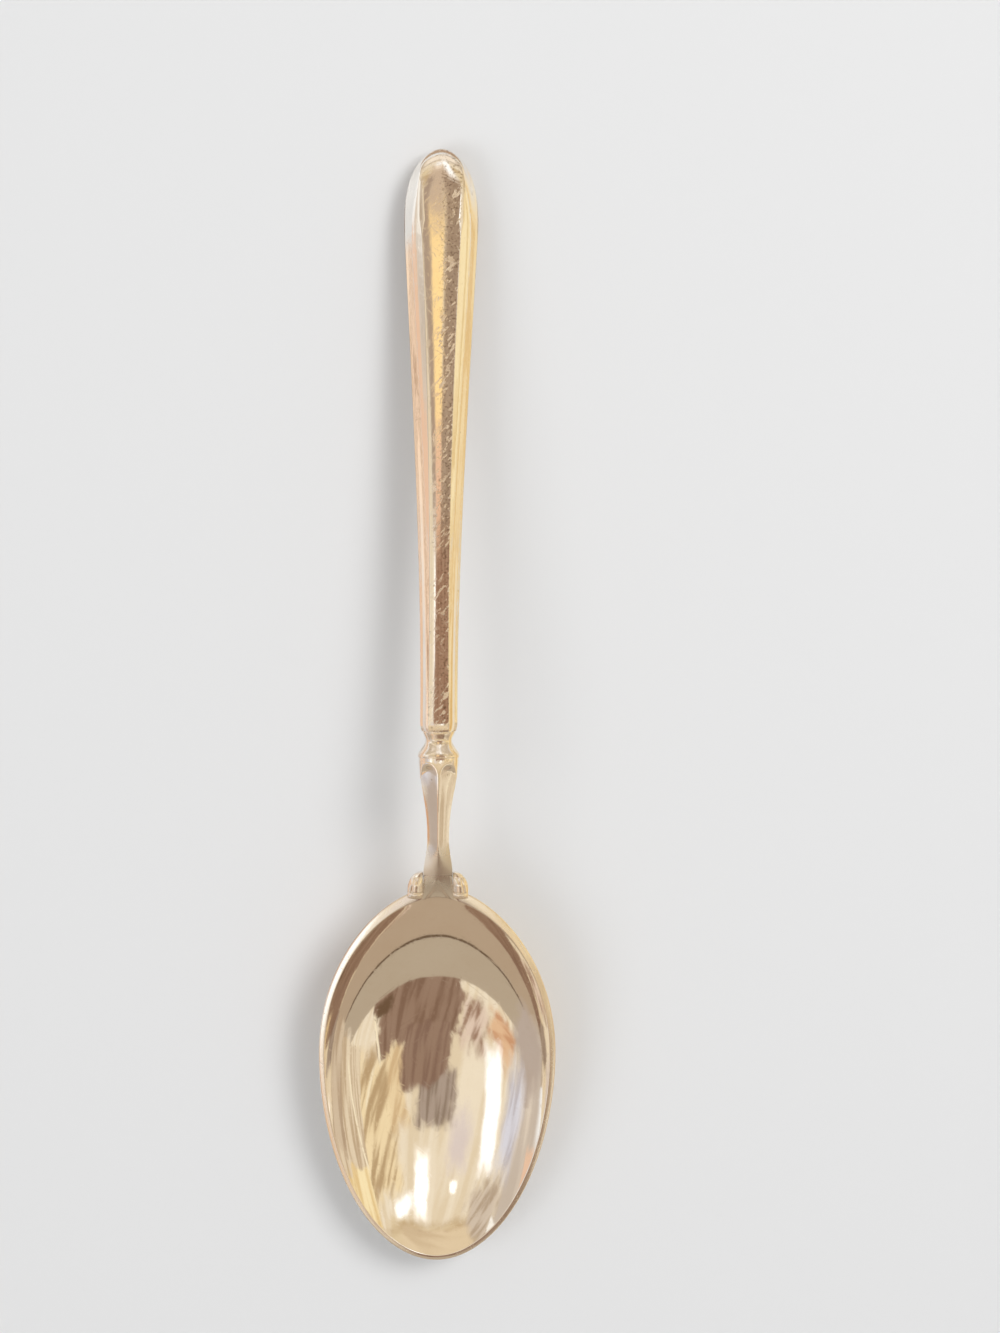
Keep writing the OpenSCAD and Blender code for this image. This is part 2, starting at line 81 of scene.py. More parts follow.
class TeaspoonBowlSizes(PropertyGroup):
    """Sizes of the bowl, measured from its tip."""

    front: length("Front length", "From the bowl's tip to its widest place", 27.9)
    rear: length("Rear length", "From the widest place to the back of the rim", 22.9)
    width: length("Width", "Width of the bowl over its rim", 29.8)
    depth: length("Depth", "Depth of the hollow below the rim", 6.2)
    wall: length("Bottom thickness", "Thickness of the bowl's bottom", 0.95)
    rim_edge: length("Rim edge", "Height of the rim's outer edge", 0.65)
    rim_flat: length("Rim flat", "Width of the ground flat at the sides and the tip", 0.7)
    back_flat: length("Back flat", "Width of the ground flat at the back", 1.5)
    rim_rise: length("Rim rise", "How much higher the rim is at its back", 4.6)
    rim_round: length("Rim rounding", "Rounding of the rim's outer corners", 0.14)
    lip_round: length("Lip rounding", "Rounding of the lip over the hollow", 0.1)
    tongue_len: length("Tongue length", "Length of the tongue behind the rim", 1.7)
    tongue_climb: length("Tongue climb", "How far the tongue climbs above the rim", 0.45)
    rim_tilt: share("Rim tilt", "Fall of the ground flat to its outer edge over its width", 0.28)
    rim_fall: length("Rim fall", "The most that the ground flat falls to its outer edge", 0.3)
    tongue_edge: length("Tongue edge", "Thickness of the tongue at its tip", 0.3)
    ogee_len: length("Ogee length", "How far the hollow's point runs up the tongue", 2.97)
    ogee_width: length("Ogee half width", "Half the width of the hollow's point at its foot", 1.4)
    ogee_depth: length("Ogee depth", "Depth of the hollow's point", 0.08)
    tip_power: share("Tip fullness", "Power of the outline's front, 0.5 for an ellipse", 0.51)
    back_power: share("Back fullness", "Power of the outline's back, 0.5 for an ellipse", 0.595)
    lip_power: share("Lip fullness", "Power of the lip's back, 0.5 for an ellipse", 0.56)
    fullness: share("Hollow fullness", "How much fuller than a parabola the hollow is", 0.5)


class TeaspoonStemSizes(PropertyGroup):
    """Sizes of the stem, its scrolls and the collar."""

    length: length("Stem length", "From the back of the rim to the collar", 16.8)
    neck_at: length("Neck place", "From the back of the rim to the thinnest place", 6.2)
    neck_width: length("Neck width", "Width at the thinnest place", 2.66)
    neck_thickness: length("Neck thickness", "Thickness at the thinnest place", 2.3)
    heel_width: length("Heel width", "Width beside the bowl's tongue", 3.6)
    heel_thickness: length("Heel thickness", "Thickness beside the bowl's tongue", 2.1)
    shoulder_width: length("Shoulder width", "Width at the collar", 4.9)
    shoulder_thickness: length("Shoulder thickness", "Thickness at the collar", 4.2)
    heel_run: length("Heel run", "How far into the hollow the heel's slope begins", 3.3)
    heel_core: length("Heel core", "Half the width of the heel's even slope", 1.5)
    heel_fade: length("Heel fade", "Width over which the slope gives way to the rim", 1.1)
    drop_len: length("Drop length", "How far the stem's drop reaches under the bowl", 6.0)
    facet_hollow: length("Facet hollow", "Hollow of each long facet", 0.08)
    solder_gap: length("Solder gap", "Room between the drop and the bowl", 0.22)
    rise_angle: FloatProperty(name="Rise angle", description="Angle at which the stem leaves the bowl",
                              default=math.radians(14), min=0, max=1, subtype="ANGLE")
    collar_height: length("Collar height", "Height of the collar's centre above the table", 12.2)
    scroll_width: length("Scroll width", "Width of each scroll from the stem's side", 1.9)
    scroll_len: length("Scroll length", "Length of each scroll", 3.5)
    scroll_height: length("Scroll height", "Height of each scroll above the rim", 1.0)
    scroll_lap: length("Scroll lap", "How far each scroll laps over the rim", 1.5)
    collar_len: length("Collar length", "Length of the collar", 3.2)
    collar_rim: length("Collar rim width", "Width of the collar's rim", 5.08)
    collar_waist: length("Collar waist width", "Width of the collar's waist", 3.22)
    collar_flat: share("Collar flatness", "Thickness of the collar as a share of its width", 0.86)


class TeaspoonHandleSizes(PropertyGroup):
    """Sizes of the hollow handle, measured from its mouth."""

    length: length("Handle length", "Length of the shell", 70.6)
    widths: curve("Side widths", "Control widths of the side curve", 4.58, 4.12, 7.82, 9.84)
    panels: curve("Panel widths", "Control widths of the creases", 2.62, 1.9, 3.0, 5.9)
    mouth_thickness: length("Mouth thickness", "Thickness at the mouth", 3.9)
    end_thickness: length("End thickness", "Thickness near the end", 4.8)
    wall: length("Sheet", "Thickness of the sheet silver", 0.5)
    end_round: length("End rounding", "Length over which the sides round in", 12.0)
    end_roll: length("End roll", "Length over which front and back round down", 4.5)
    mouth_round: length("Mouth rounding", "Length over which the mouth rounds in", 1.3)
    mouth_inset: length("Mouth inset", "How far the mouth rounds in", 0.3)
    crown: length("Panel crown", "Rise of the panel above its creases", 0.16)
    band: length("Edge band", "Width of the narrow band along each edge", 0.34)
    crease_round: length("Crease rounding", "Rounding of the creases", 0.06)
    end_melt: length("End softening", "How much rounder the creases are at the end", 2.6)
    melt_run: length("Softening run", "Length over which the creases die out at the end", 11.0)
    end_dome: share("End dome", "How far the section becomes a half ellipse at the end", 0.7)
    dome_run: length("Dome run", "Length over which it becomes a half ellipse", 7.0)
    seam: length("Seam", "Thickness of the soldered seam", 0.12)


class TeaspoonFinish(PropertyGroup):
    """Colours and wear of the metal."""

    silver: colour("Silver", "Colour of the clean worn silver", (0.95, 0.915, 0.86))
    patina: colour("Patina", "Colour of the silver's warm film", (0.72, 0.58, 0.42))
    rim: colour("Ground rim", "Colour of the ground flats", (0.95, 0.92, 0.87))
    solder: colour("Solder", "Colour of the soldered seams", (0.55, 0.48, 0.38))
    steel: colour("Tang steel", "Colour of the forged tang", (0.2, 0.19, 0.18))
    resin: colour("Filling", "Colour of the handle's filling", (0.06, 0.035, 0.02))


class TeaspoonStage(PropertyGroup):
    """Light, floor and camera."""

    floor: colour("Floor", "Colour of the pale floor", (0.82, 0.82, 0.82))
    lens: FloatProperty(name="Focal length", description="Lens on a 36 mm frame", default=98.45,
                        min=20, max=300, unit="CAMERA")


# Formulas shared by the pieces

def ease(t):
    """Smooth step from 0 to 1: three squares less two cubes."""
    u = np.clip(t, 0, 1)
    return u * u * (3 - 2 * u)


def mix(a, b, t):
    """A straight blend from a to b."""
    return a + (b - a) * t


def bezier(controls, t):
    """A cubic Bezier curve through four control values."""
    a, b, c, d = controls
    u = 1 - t
    return u ** 3 * a + 3 * u * u * t * b + 3 * u * t * t * c + t ** 3 * d


def bridge(t, start, start_rise, end, end_rise):
    """A cubic from start to end as t runs from 0 to 1, with a given rise per t at each end."""
    return ((2 * t ** 3 - 3 * t ** 2 + 1) * start + (t ** 3 - 2 * t ** 2 + t) * start_rise
            + (3 * t ** 2 - 2 * t ** 3) * end + (t ** 3 - t ** 2) * end_rise)


def points_at(x, y, z):
    """Points from their coordinates, which are spread to a common shape."""
    return np.stack(np.broadcast_arrays(x, y, z), -1)


class BowlForm:
    """The bowl's surfaces as functions of x and y, with y measured from its tip."""

    tongue_squareness = 10

    def __init__(self, s, tongue_half):
        self.s = s
        self.tongue_half = tongue_half
        self.half = s.width / 2
        self.back = s.front + s.rear
        self.tongue_tip = self.back + s.tongue_len
        self.lip_y, self.lip_x = self.lip_table()
        y = np.linspace(0, self.back, 400)
        self.set_down = -self.under_curve(0 * y, y).min()

    def egg_point(self, angle, half, front, rear, rear_power):
        """An outline of two half ovals: half times a power of sin across, and cos along."""
        behind = np.abs(angle) > np.pi / 2
        power = np.where(behind, rear_power, self.s.tip_power)
        sine = np.sin(angle)
        x = half * np.sign(sine) * np.abs(sine) ** (2 * power)
        y = self.s.front - np.where(behind, rear, front) * np.cos(angle)
        return x, y

    def egg_half(self, y, half, front, rear, rear_power):
        """Half the width inside such an outline at y."""
        s = self.s
        fore = half * np.maximum(0, 1 - ((s.front - y) / front) ** 2) ** s.tip_power
        aft = half * np.maximum(0, 1 - ((y - s.front) / rear) ** 2) ** rear_power
        return np.where(y < s.front, fore, aft)

    def rim_point(self, angle):
        """The rim's outline, with the back carried out to the tongue's square tip."""
        s, power = self.s, self.tongue_squareness
        x, y = self.egg_point(angle, self.half, s.front, s.rear, s.back_power)
        across = np.abs(x) / self.tongue_half
        push = (self.tongue_tip - y) * np.maximum(0, 1 - across ** power) ** (1 / power)
        return x, y + np.where(y > s.front, push, 0)

    def lip_point(self, angle):
        """The hollow's outline, inside the rim's flat."""
        s = self.s
        return self.egg_point(angle, self.half - s.rim_flat, s.front - s.rim_flat,
                              s.rear - s.back_flat, s.lip_power)

    def lip_table(self):
        """The lip's half width against y, behind the widest place."""
        angle = np.pi / 2 * (1 + np.sin(np.linspace(0, np.pi / 2, 4000)))
        x, y = self.lip_point(angle)
        return y, x

    def lip_half(self, y):
        """Half the hollow's width at y."""
        s = self.s
        fore = self.egg_half(y, self.half - s.rim_flat, s.front - s.rim_flat, s.rear, 0.5)
        return np.where(y < s.front, fore, np.interp(y, self.lip_y, self.lip_x))

    def hollow_share(self, x, half):
        """Depth share: 0 on an outline and 1 in the middle of the widest place."""
        f = self.s.fullness
        w = np.maximum(0, half * half - x * x) / self.half ** 2
        return w * (1 + f) / (1 + f * w)

    def rim_curve(self, y):
        """A parabola along the rim, and the tongue's climb behind it."""
        s = self.s
        return s.rim_rise * (y / self.back) ** 2 + s.tongue_climb * ease((y - self.back) / s.tongue_len)

    def under_curve(self, x, y):
        """The bowl's back before the spoon is set down."""
        s = self.s
        half = self.egg_half(y, self.half, s.front, s.rear, s.back_power)
        return (self.rim_curve(y) - s.rim_edge
                - (s.depth + s.wall - s.rim_edge) * self.hollow_share(x, half))

    def rim_z(self, y):
        """The rim's height above the table."""
        return self.set_down + self.rim_curve(y)

    def under_z(self, x, y):
        """Height of the bowl's back above the table."""
        return self.set_down + self.under_curve(x, y)

    def hollow_z(self, x, y):
        """The hollow: the rim's height less the depth times its share."""
        return self.rim_z(y) - self.s.depth * self.hollow_share(x, self.lip_half(y))


class StemForm:
    """The stem's centre line and sections, the handle's pitch and the way onto the handle."""

    swell_power = 1.3

    # Shares of the heel's thickness, the neck's distance and the stem's length
    heel_above_share = 0.35
    heel_run_share = 0.75
    band_len_share = 0.03
    arch_len_share = 0.06
    arch_fade_share = 0.07

    # Softness of the ridge and fall to the side, as shares of the half width and the half thickness
    neck_soft_share = 0.1
    heel_soft_share = 0.6
    neck_fall_share = 0.7
    heel_fall_share = 0.34

    def __init__(self, bowl, s, h):
        self.bowl, self.s = bowl, s
        self.start = bowl.back
        self.end = bowl.back + s.length
        self.neck = bowl.back + s.neck_at
        self.pitch = self.touch_pitch(HandleForm(h))
        self.spoon_len = self.end + (s.collar_len + h.length) * math.cos(self.pitch)
        self.heel_drop = s.heel_thickness * (0.5 - self.heel_above_share)
        self.heel_z = float(bowl.rim_z(bowl.back)) - self.heel_drop

    def touch_pitch(self, handle):
        """The least angle at which a place under the handle's far half meets the table: the arcsine
        of the collar's height over the place's distance, less the arctangent of its drop over its y."""
        s = self.s
        far = handle.places()[handle.places() > handle.s.length / 2]
        y = s.collar_len + far
        drop = handle.rise(far) + handle.s.crown * handle.roll(far)
        return float((np.arcsin(s.collar_height / np.hypot(y, drop)) - np.arctan(drop / y)).min())

    def centre_z(self, y):
        """A cubic that leaves the heel at the rise angle and meets the collar at the handle's pitch."""
        run = self.end - self.start
        return bridge((y - self.start) / run, self.heel_z, run * math.tan(self.s.rise_angle),
                      self.s.collar_height, -run * math.tan(self.pitch))

    def swell(self, y):
        """0 up to the neck, then a smooth step to 1 at the collar."""
        return ease(np.maximum(0, (y - self.neck) / (self.end - self.neck)) ** self.swell_power)

    def heel_ease(self, y):
        """1 at the heel, then a smooth step down to 0 at the neck."""
        return ease((self.neck - y) / (self.heel_run_share * self.s.neck_at))

    def half(self, y):
        """Half the width: the neck's, eased to the heel's before it and to the shoulder's after it."""
        s = self.s
        return mix(mix(s.neck_width, s.heel_width, self.heel_ease(y)),
                   s.shoulder_width, self.swell(y)) / 2

    def half_thickness(self, y):
        """Half the thickness, worked out as half the width is."""
        s = self.s
        return mix(mix(s.neck_thickness, s.heel_thickness, self.heel_ease(y)),
                   s.shoulder_thickness, self.swell(y)) / 2

    def tilt(self, y):
        """How far the sections lean: a smooth step from 0 at the neck to the handle's pitch."""
        return self.pitch * ease((y - self.neck) / (self.end - self.neck))

    def facet(self, y, s):
        """Height of the top at share s of the half width: two hollow facets under a ridge, which end
        in arches below a round band at the collar and grow soft and flat towards the heel."""
        t = self.half_thickness(y)
        z = self.s
        arch = self.end - z.length * (self.band_len_share + self.arch_len_share * (2 * s - 1) ** 2)
        heel = ease((self.neck - y) / (self.neck - self.bowl.tongue_tip))
        soft = mix(self.neck_soft_share, self.heel_soft_share, heel)
        ridge = (np.sqrt(s * s + soft * soft) - soft) / (np.sqrt(1 + soft * soft) - soft)
        fall = mix(self.neck_fall_share, self.heel_fall_share, heel)
        flat = t * (1 - fall * ridge) - 4 * z.facet_hollow * s * (1 - s) * (1 - heel)
        round_top = t * np.sqrt(np.maximum(0, 1 - s * s))
        return mix(round_top, flat, ease((arch - y) / (self.arch_fade_share * z.length)))

    def top_z(self, x, y):
        """The stem's top where it doesn't lean, between the heel and the neck."""
        return self.centre_z(y) + self.facet(y, np.minimum(1, np.abs(x) / self.half(y)))

    def lay(self, y, x, n):
        """Points at height n above the centre line, leaning with the stem."""
        a = self.tilt(y)
        return points_at(x, y + n * np.sin(a), self.centre_z(y) + n * np.cos(a))

    def along_handle(self, points):
        """Turns points whose own y runs from the stem's end down the handle's pitch."""
        c, k = math.cos(self.pitch), math.sin(self.pitch)
        x, y, z = points[..., 0], points[..., 1], points[..., 2]
        return points_at(x, self.end + y * c + z * k, self.s.collar_height - y * k + z * c)


class HeelForm:
    """The heel's top, on which the hollow runs up between the scrolls and becomes the stem."""

    # The hollow's point: its distance from the tongue's tip as a share of the tongue, its fades as
    # shares of its length, and its edge's width and ridge as shares of its half width and depth
    point_gap_share = 0.25
    foot_fade_share = 0.4
    point_fade_share = 0.12
    edge_width_share = 0.2
    edge_ridge_share = 0.55
    edge_power = 1.25

    def __init__(self, bowl, stem):
        self.bowl, self.stem = bowl, stem
        self.low = bowl.back - stem.s.heel_run
        self.high = bowl.tongue_tip

    def cover(self, x):
        """1 between the scrolls, then a smooth step down to 0 below them."""
        s = self.stem.s
        return 1 - ease((np.abs(x) - s.heel_core) / s.heel_fade)

    def ogee(self, x, y):
        """The hollow's point: a dip that narrows up the tongue, with a small ridge along its edge."""
        s = self.bowl.s
        top = self.high - self.point_gap_share * s.tongue_len
        climb = np.clip((top - y) / s.ogee_len, 0, 1)
        edge = s.ogee_width * climb ** self.edge_power
        fade = ease((1 - climb) / self.foot_fade_share) * ease(climb / self.point_fade_share)
        off = (np.abs(x) - edge) / (self.edge_width_share * s.ogee_width)
        dip = ease(0.5 - 0.5 * off)
        return s.ogee_depth * fade * (self.edge_ridge_share * np.exp(-off * off) - dip)

    def top(self, x, y):
        """A cubic from the hollow to the stem's top for each x, with both ends' slopes, which gives
        way to the hollow and the rim's flat beside it."""
        run = self.high - self.low
        t = np.clip((y - self.low) / run, 0, 1)
        low, high, step = self.low + 0 * y, self.high + 0 * y, 0.02 * MM
        start, end = self.bowl.hollow_z(x, low), self.stem.top_z(x, high)
        start_rise = run * (start - self.bowl.hollow_z(x, low - step)) / step
        end_rise = run * (self.stem.top_z(x, high + step) - end) / step
        slope = bridge(t, start, start_rise, end, end_rise) + self.ogee(x, y)
        return mix(self.bowl.hollow_z(x, y), slope, self.cover(x) * (y > self.low))

    def thickness(self, x, y):
        """The rim's edge, which thins along the tongue."""
        s = self.bowl.s
        return mix(s.rim_edge, s.tongue_edge, ease((y - self.bowl.back) / s.tongue_len) * self.cover(x))


class HandleForm:
    """The handle's outline and section, with s measured from its mouth."""

    # Steps along the shell: round the mouth, along the body and round the end
    mouth_steps = 14
    body_steps = 230
    end_steps = 90
    mouth_bunching = 1.6
    tip_flat_share = 0.004

    # Power and root of the two tapers at the end
    side_taper = (3, 0.58)
    roll_taper = (2.5, 0.5)

    # Shares of the section's own sizes
    crease_limit_share = 0.92
    crease_blend = 6
    band_height_share = 0.34
    band_limit_share = 0.4
    bulge_share = 0.1

    def __init__(self, s):
        self.s = s

    def places(self):
        """Places along the shell, close together where it rounds, at the mouth and the end."""
        h = self.s
        mouth = np.linspace(0, 1, self.mouth_steps) ** self.mouth_bunching * h.mouth_round
        body = np.linspace(h.mouth_round, h.length - h.end_round, self.body_steps)
        turn = np.linspace(0, np.pi / 2, self.end_steps)
        end = h.length - h.end_round * np.maximum(self.tip_flat_share, 1 - np.sin(turn))
        return np.unique(np.concatenate([mouth, body, end]))

    def side(self, s):
        """Half the width before the mouth and the end round in: half a Bezier curve."""
        return bezier(self.s.widths, s / self.s.length) / 2

    def crease_line(self, s):
        """How far the creases run from the middle: half a Bezier curve."""
        return bezier(self.s.panels, s / self.s.length) / 2

    def mouth_cut(self, s):
        """A quarter ellipse at the mouth."""
        h = self.s
        t = np.clip(1 - s / h.mouth_round, 0, 1)
        return h.mouth_inset * (1 - np.sqrt(1 - t * t))

    def taper(self, s, run, power, root):
        """Falls from 1 to 0 over the last stretch: a root of one less a power."""
        t = np.clip((s - self.s.length + run) / run, 0, 1)
        return (1 - t ** power) ** root

    def half(self, s):
        """Half the width, less the mouth's cut, times the end's taper."""
        return (self.side(s) - self.mouth_cut(s)) * self.taper(s, self.s.end_round, *self.side_taper)

    def roll(self, s):
        """The share of the thickness that the end's roll leaves."""
        return self.taper(s, self.s.end_roll, *self.roll_taper)

    def rise_line(self, s):
        """Half the thickness before the ends round, on a straight line from mouth to end."""
        h = self.s
        return mix(h.mouth_thickness, h.end_thickness, s / h.length) / 2

    def rise(self, s):
        """Half the thickness, less the mouth's cut, times the end's roll."""
        return (self.rise_line(s) - self.mouth_cut(s)) * self.roll(s)

    def crease_share(self, s):
        """Where the crease lies on the half width, kept below a limit where the end rounds in."""
        ratio = self.crease_line(s) / np.maximum(self.half(s), 1e-9)
        k = self.crease_blend
        return (ratio ** -k + self.crease_limit_share ** -k) ** (-1 / k)

    def corners(self, s):
        """Corner points of half a section, from the panel's middle to the seam, as (..., 6, 2). The
        bevel between the crease and the edge band bulges a little in its middle."""
        h = self.s
        a, b = self.half(s), self.rise(s) - h.seam / 2
        c = self.band_height_share * b
        p = a * self.crease_share(s)
        band = np.minimum(h.band, self.band_limit_share * (a - p))
        bulge = self.bulge_share * np.minimum(b - c, a - p)
        zero = 0 * s
        points = [(zero, b), (p, b), ((p + a - band + bulge) / 2, (b + c + bulge) / 2), (a - band, c),
                  (a, c / 2), (a, zero)]
        return np.stack([np.stack(point, -1) for point in points], -2)


def rounded(corners, radii, segment_points, corner_points):
    """Carries a polyline over to a smooth one: each inner corner becomes a quadratic curve that
    starts and ends at its radius from it, at most a little under half way to the next corner, and
    the straights between are cut into equal steps."""
    reach_limit = 0.45
    out = []
    came_from = corners[..., 0, :]
    for k, (radius, steps) in enumerate(zip(radii, segment_points), 1):
        here = corners[..., k, :]
        to_before, to_after = corners[..., k - 1, :] - here, corners[..., k + 1, :] - here
        reach_before = np.linalg.norm(to_before, axis=-1, keepdims=True)
        reach_after = np.linalg.norm(to_after, axis=-1, keepdims=True)
        r = np.minimum(radius, reach_limit * np.minimum(reach_before, reach_after))
        start = here + to_before * r / np.maximum(reach_before, 1e-12)
        end = here + to_after * r / np.maximum(reach_after, 1e-12)
        for t in np.linspace(0, 1, steps, endpoint=False):
            out.append(mix(came_from, start, t))
        for t in np.linspace(0, 1, corner_points, endpoint=False):
            out.append((1 - t) ** 2 * start + 2 * t * (1 - t) * here + t * t * end)
        came_from = end
    for t in np.linspace(0, 1, segment_points[-1]):
        out.append(mix(came_from, corners[..., -1, :], t))
    return np.stack(out, -2)


# Meshes

def ring_faces(rings, points):
    """Quads between neighbouring rings of equally many points."""
    r = np.arange(rings - 1)[:, None] * points
    i = np.arange(points)[None, :]
    j = (i + 1) % points
    return np.stack([r + i, r + i + points, r + j + points, r + j], -1).reshape(-1, 4)


def add_object(name, data):
    """Puts data into a new object in the scene."""
    obj = bpy.data.objects.new(name, data)
    bpy.context.scene.collection.objects.link(obj)
    return obj


def make_piece(name, points, quads, extra_faces):
    """Puts a closed surface into a mesh object, with its faces outwards, set down with the spoon's
    middle at the origin."""
    place = points.reshape(-1, 3) - np.array([0, FORMS["stem"].spoon_len / 2, 0])
    mesh = bpy.data.meshes.new(name)
    mesh.from_pydata(place.tolist(), [], quads.tolist() + extra_faces)
    mesh.validate()
    grid = bmesh.new()
    grid.from_mesh(mesh)
    if grid.calc_volume(signed=True) < 0:
        mesh.flip_normals()
    grid.free()
    mesh.shade_smooth()
    obj = add_object(name, mesh)
    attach(obj, "root")
    return obj


def loft(name, rings, outer=0):
    """A closed skin over rings of points, with a flat face at each end. Where the rings are the
    section of a shell with so many outer points, the last ring is closed as two discs instead, one
    over the shell's end and one over its hollow, with a strip between their straight sides."""
    count, points = rings.shape[:2]
    first, after = (count - 1) * points, count * points
    caps = [list(range(points))]
    if outer:
        inner = first + outer
        caps += [list(range(inner - 1, first - 1, -1)), list(range(after - 1, inner - 1, -1)),
                 [inner, inner - 1, first, after - 1]]
    else:
        caps.append(list(range(after - 1, first - 1, -1)))
    return make_piece(name, rings, ring_faces(count, points), caps)


def sharpen(obj, degrees):
    """Marks the edges that fold by more than an angle as sharp."""
    obj.data.set_sharp_from_angle(angle=math.radians(degrees))


FORMS = {}


def read_forms(context):
    """Works the forms out anew from the sidebar's sizes."""
    scene = context.scene
    FORMS["bowl"] = BowlForm(scene.teaspoon_bowl, scene.teaspoon_stem.heel_width / 2)
    FORMS["handle"] = HandleForm(scene.teaspoon_handle)
    FORMS["stem"] = StemForm(FORMS["bowl"], scene.teaspoon_stem, scene.teaspoon_handle)
    FORMS["heel"] = HeelForm(FORMS["bowl"], FORMS["stem"])
    return FORMS


# Materials

def shade(tint, strength=1):
    """A colour made darker or lighter, with full cover."""
    return (*[c * strength for c in tint], 1)


class Nodes:
    """Short calls that add and join nodes in one tree."""

    def __init__(self, tree):
        self.tree = tree

    def fill(self, node, feeds):
        """Feeds a node's inputs, by name or number, with a value or from another node."""
        for key, value in feeds.items():
            if isinstance(value, bpy.types.NodeSocket):
                self.tree.links.new(value, node.inputs[key])
            else:
                node.inputs[key].default_value = value

    def add(self, kind, feeds, **settings):
        """Adds a node, sets it up and feeds its inputs."""
        node = self.tree.nodes.new(kind)
        for key, value in settings.items():
            setattr(node, key, value)
        self.fill(node, feeds)
        return node

    def math(self, operation, a, b=0.0, clamp=False):
        return self.add("ShaderNodeMath", {0: a, 1: b}, operation=operation, use_clamp=clamp).outputs[0]

    def plus(self, a, b):
        return self.math("ADD", a, b)

    def times(self, a, b):
        return self.math("MULTIPLY", a, b)

    def total(self, start, terms):
        """A start value plus each mask times its amount."""
        for mask, amount in terms:
            start = self.plus(start, self.times(mask, amount))
        return start

    def noise(self, vector, scale, detail=3.0, rough=0.5):
        feeds = {"Vector": vector, "Scale": scale, "Detail": detail, "Roughness": rough}
        return self.add("ShaderNodeTexNoise", feeds).outputs["Fac"]

    def ramp(self, value, low, high):
        """A smooth step from 0 at low to 1 at high."""
        feeds = {"Value": value, "From Min": low, "From Max": high}
        return self.add("ShaderNodeMapRange", feeds, interpolation_type="SMOOTHSTEP").outputs["Result"]

    def mapping(self, vector, scale=(1, 1, 1), turn=0.0, shift=(0, 0, 0)):
        """A place stretched, turned about z and moved."""
        feeds = {"Vector": vector, "Scale": scale, "Rotation": (0, 0, turn), "Location": shift}
        return self.add("ShaderNodeMapping", feeds).outputs["Vector"]

    def axes(self, vector):
        """The x, y and z of a place."""
        return self.add("ShaderNodeSeparateXYZ", {0: vector}).outputs

    def blend(self, fac, a, b):
        feeds = {"Factor": fac, "A": a, "B": b}
        return self.add("ShaderNodeMix", feeds, data_type="RGBA").outputs["Result"]

    def bump(self, height, distance):
        feeds = {"Strength": 1.0, "Distance": distance, "Height": height}
        return self.add("ShaderNodeBump", feeds).outputs["Normal"]


def effect(n, name, build, **inputs):
    """Adds a shared effect: a mask or a height from a place and other named values. Its node group is
    built on first use."""
    group = bpy.data.node_groups.get(name)
    if not group:
        group = bpy.data.node_groups.new(name, "ShaderNodeTree")
        for key in inputs:
            kind = "NodeSocketVector" if key == "Vector" else "NodeSocketFloat"
            group.interface.new_socket(key, in_out="INPUT", socket_type=kind)
        group.interface.new_socket("Amount", in_out="OUTPUT", socket_type="NodeSocketFloat")
        inside = Nodes(group)
        given = list(inside.add("NodeGroupInput", {}).outputs)[:len(inputs)]
        inside.add("NodeGroupOutput", {"Amount": build(inside, *given)})
    return n.add("ShaderNodeGroup", inputs, node_tree=group).outputs[0]


def hairlines(n, place):
    """Fine scratches: noise drawn out long at several angles, of which only the peaks are kept."""
    total = 0.0
    for k, (angle, stretch, scale) in enumerate(((0.12, 40, 4200), (-0.45, 46, 3600), (0.9, 38, 4400),
                                                 (2.3, 44, 3800), (-1.1, 36, 3400))):
        turned = n.mapping(place, turn=angle, shift=(0.013 * k, 0.007 * k, 0))
        drawn = n.mapping(turned, scale=(1, 1 / stretch, 1))
        total = n.math("MAXIMUM", total, n.ramp(n.noise(drawn, scale, 1.0, 0.4), 0.7, 0.78))
    return total


def drawn_marks(n, place):
    """Lengthwise polishing marks: two noises drawn out very long along the spoon."""
    broad = n.noise(n.mapping(place, scale=(1, 0.012, 1)), 1500.0, 2.0)
    fine = n.noise(n.mapping(place, scale=(1, 0.02, 1)), 5200.0, 2.0)
    return n.plus(broad, n.times(fine, 0.35))


def warm_film(n, place, cover):
    """A warm film: broad cloudy noise with finer freckles."""
    clouds = n.ramp(n.noise(place, 180.0, 4.0, 0.55), 0.3, 0.75)
    freckles = n.ramp(n.noise(place, 1620.0, 2.0), 0.55, 0.75)
    return n.math("MULTIPLY", n.plus(clouds, n.times(freckles, 0.35)), cover, clamp=True)


def pit_marks(n, place, size):
    """Pits and nicks: the middles of scattered cells, only where a broad noise is high."""
    cells = n.add("ShaderNodeTexVoronoi", {"Vector": place, "Scale": 900.0}, feature="F1")
    size = n.times(size, n.ramp(n.noise(place, 260.0, 2.0), 0.42, 0.68))
    spread = n.math("DIVIDE", cells.outputs["Distance"], n.plus(size, 0.001))
    return n.math("SUBTRACT", 1.0, spread, clamp=True)


def ding_marks(n, place):
    """Short slanting dings in clusters: noise drawn out a little, where a broad noise is high."""
    turned = n.mapping(place, turn=0.7)
    marks = n.ramp(n.noise(n.mapping(turned, scale=(1, 0.35, 1)), 2600.0, 2.0), 0.54, 0.62)
    return n.times(marks, n.ramp(n.noise(place, 260.0, 2.0), 0.34, 0.58))


def new_material(name):
    """A material, its nodes, its shader and the object's own coordinates."""
    material = bpy.data.materials.new(name)
    material.use_nodes = True
    n = Nodes(material.node_tree)
    place = n.add("ShaderNodeTexCoord", {}).outputs["Object"]
    return material, n, material.node_tree.nodes["Principled BSDF"], place


# How much each kind of wear adds to the roughness
FILM_ROUGH = 0.08
SCRATCH_ROUGH = 0.3
DING_ROUGH = 0.4
PIT_ROUGH = 0.15
SATIN_ROUGH = 0.22
CLOUD_ROUGH = 0.15

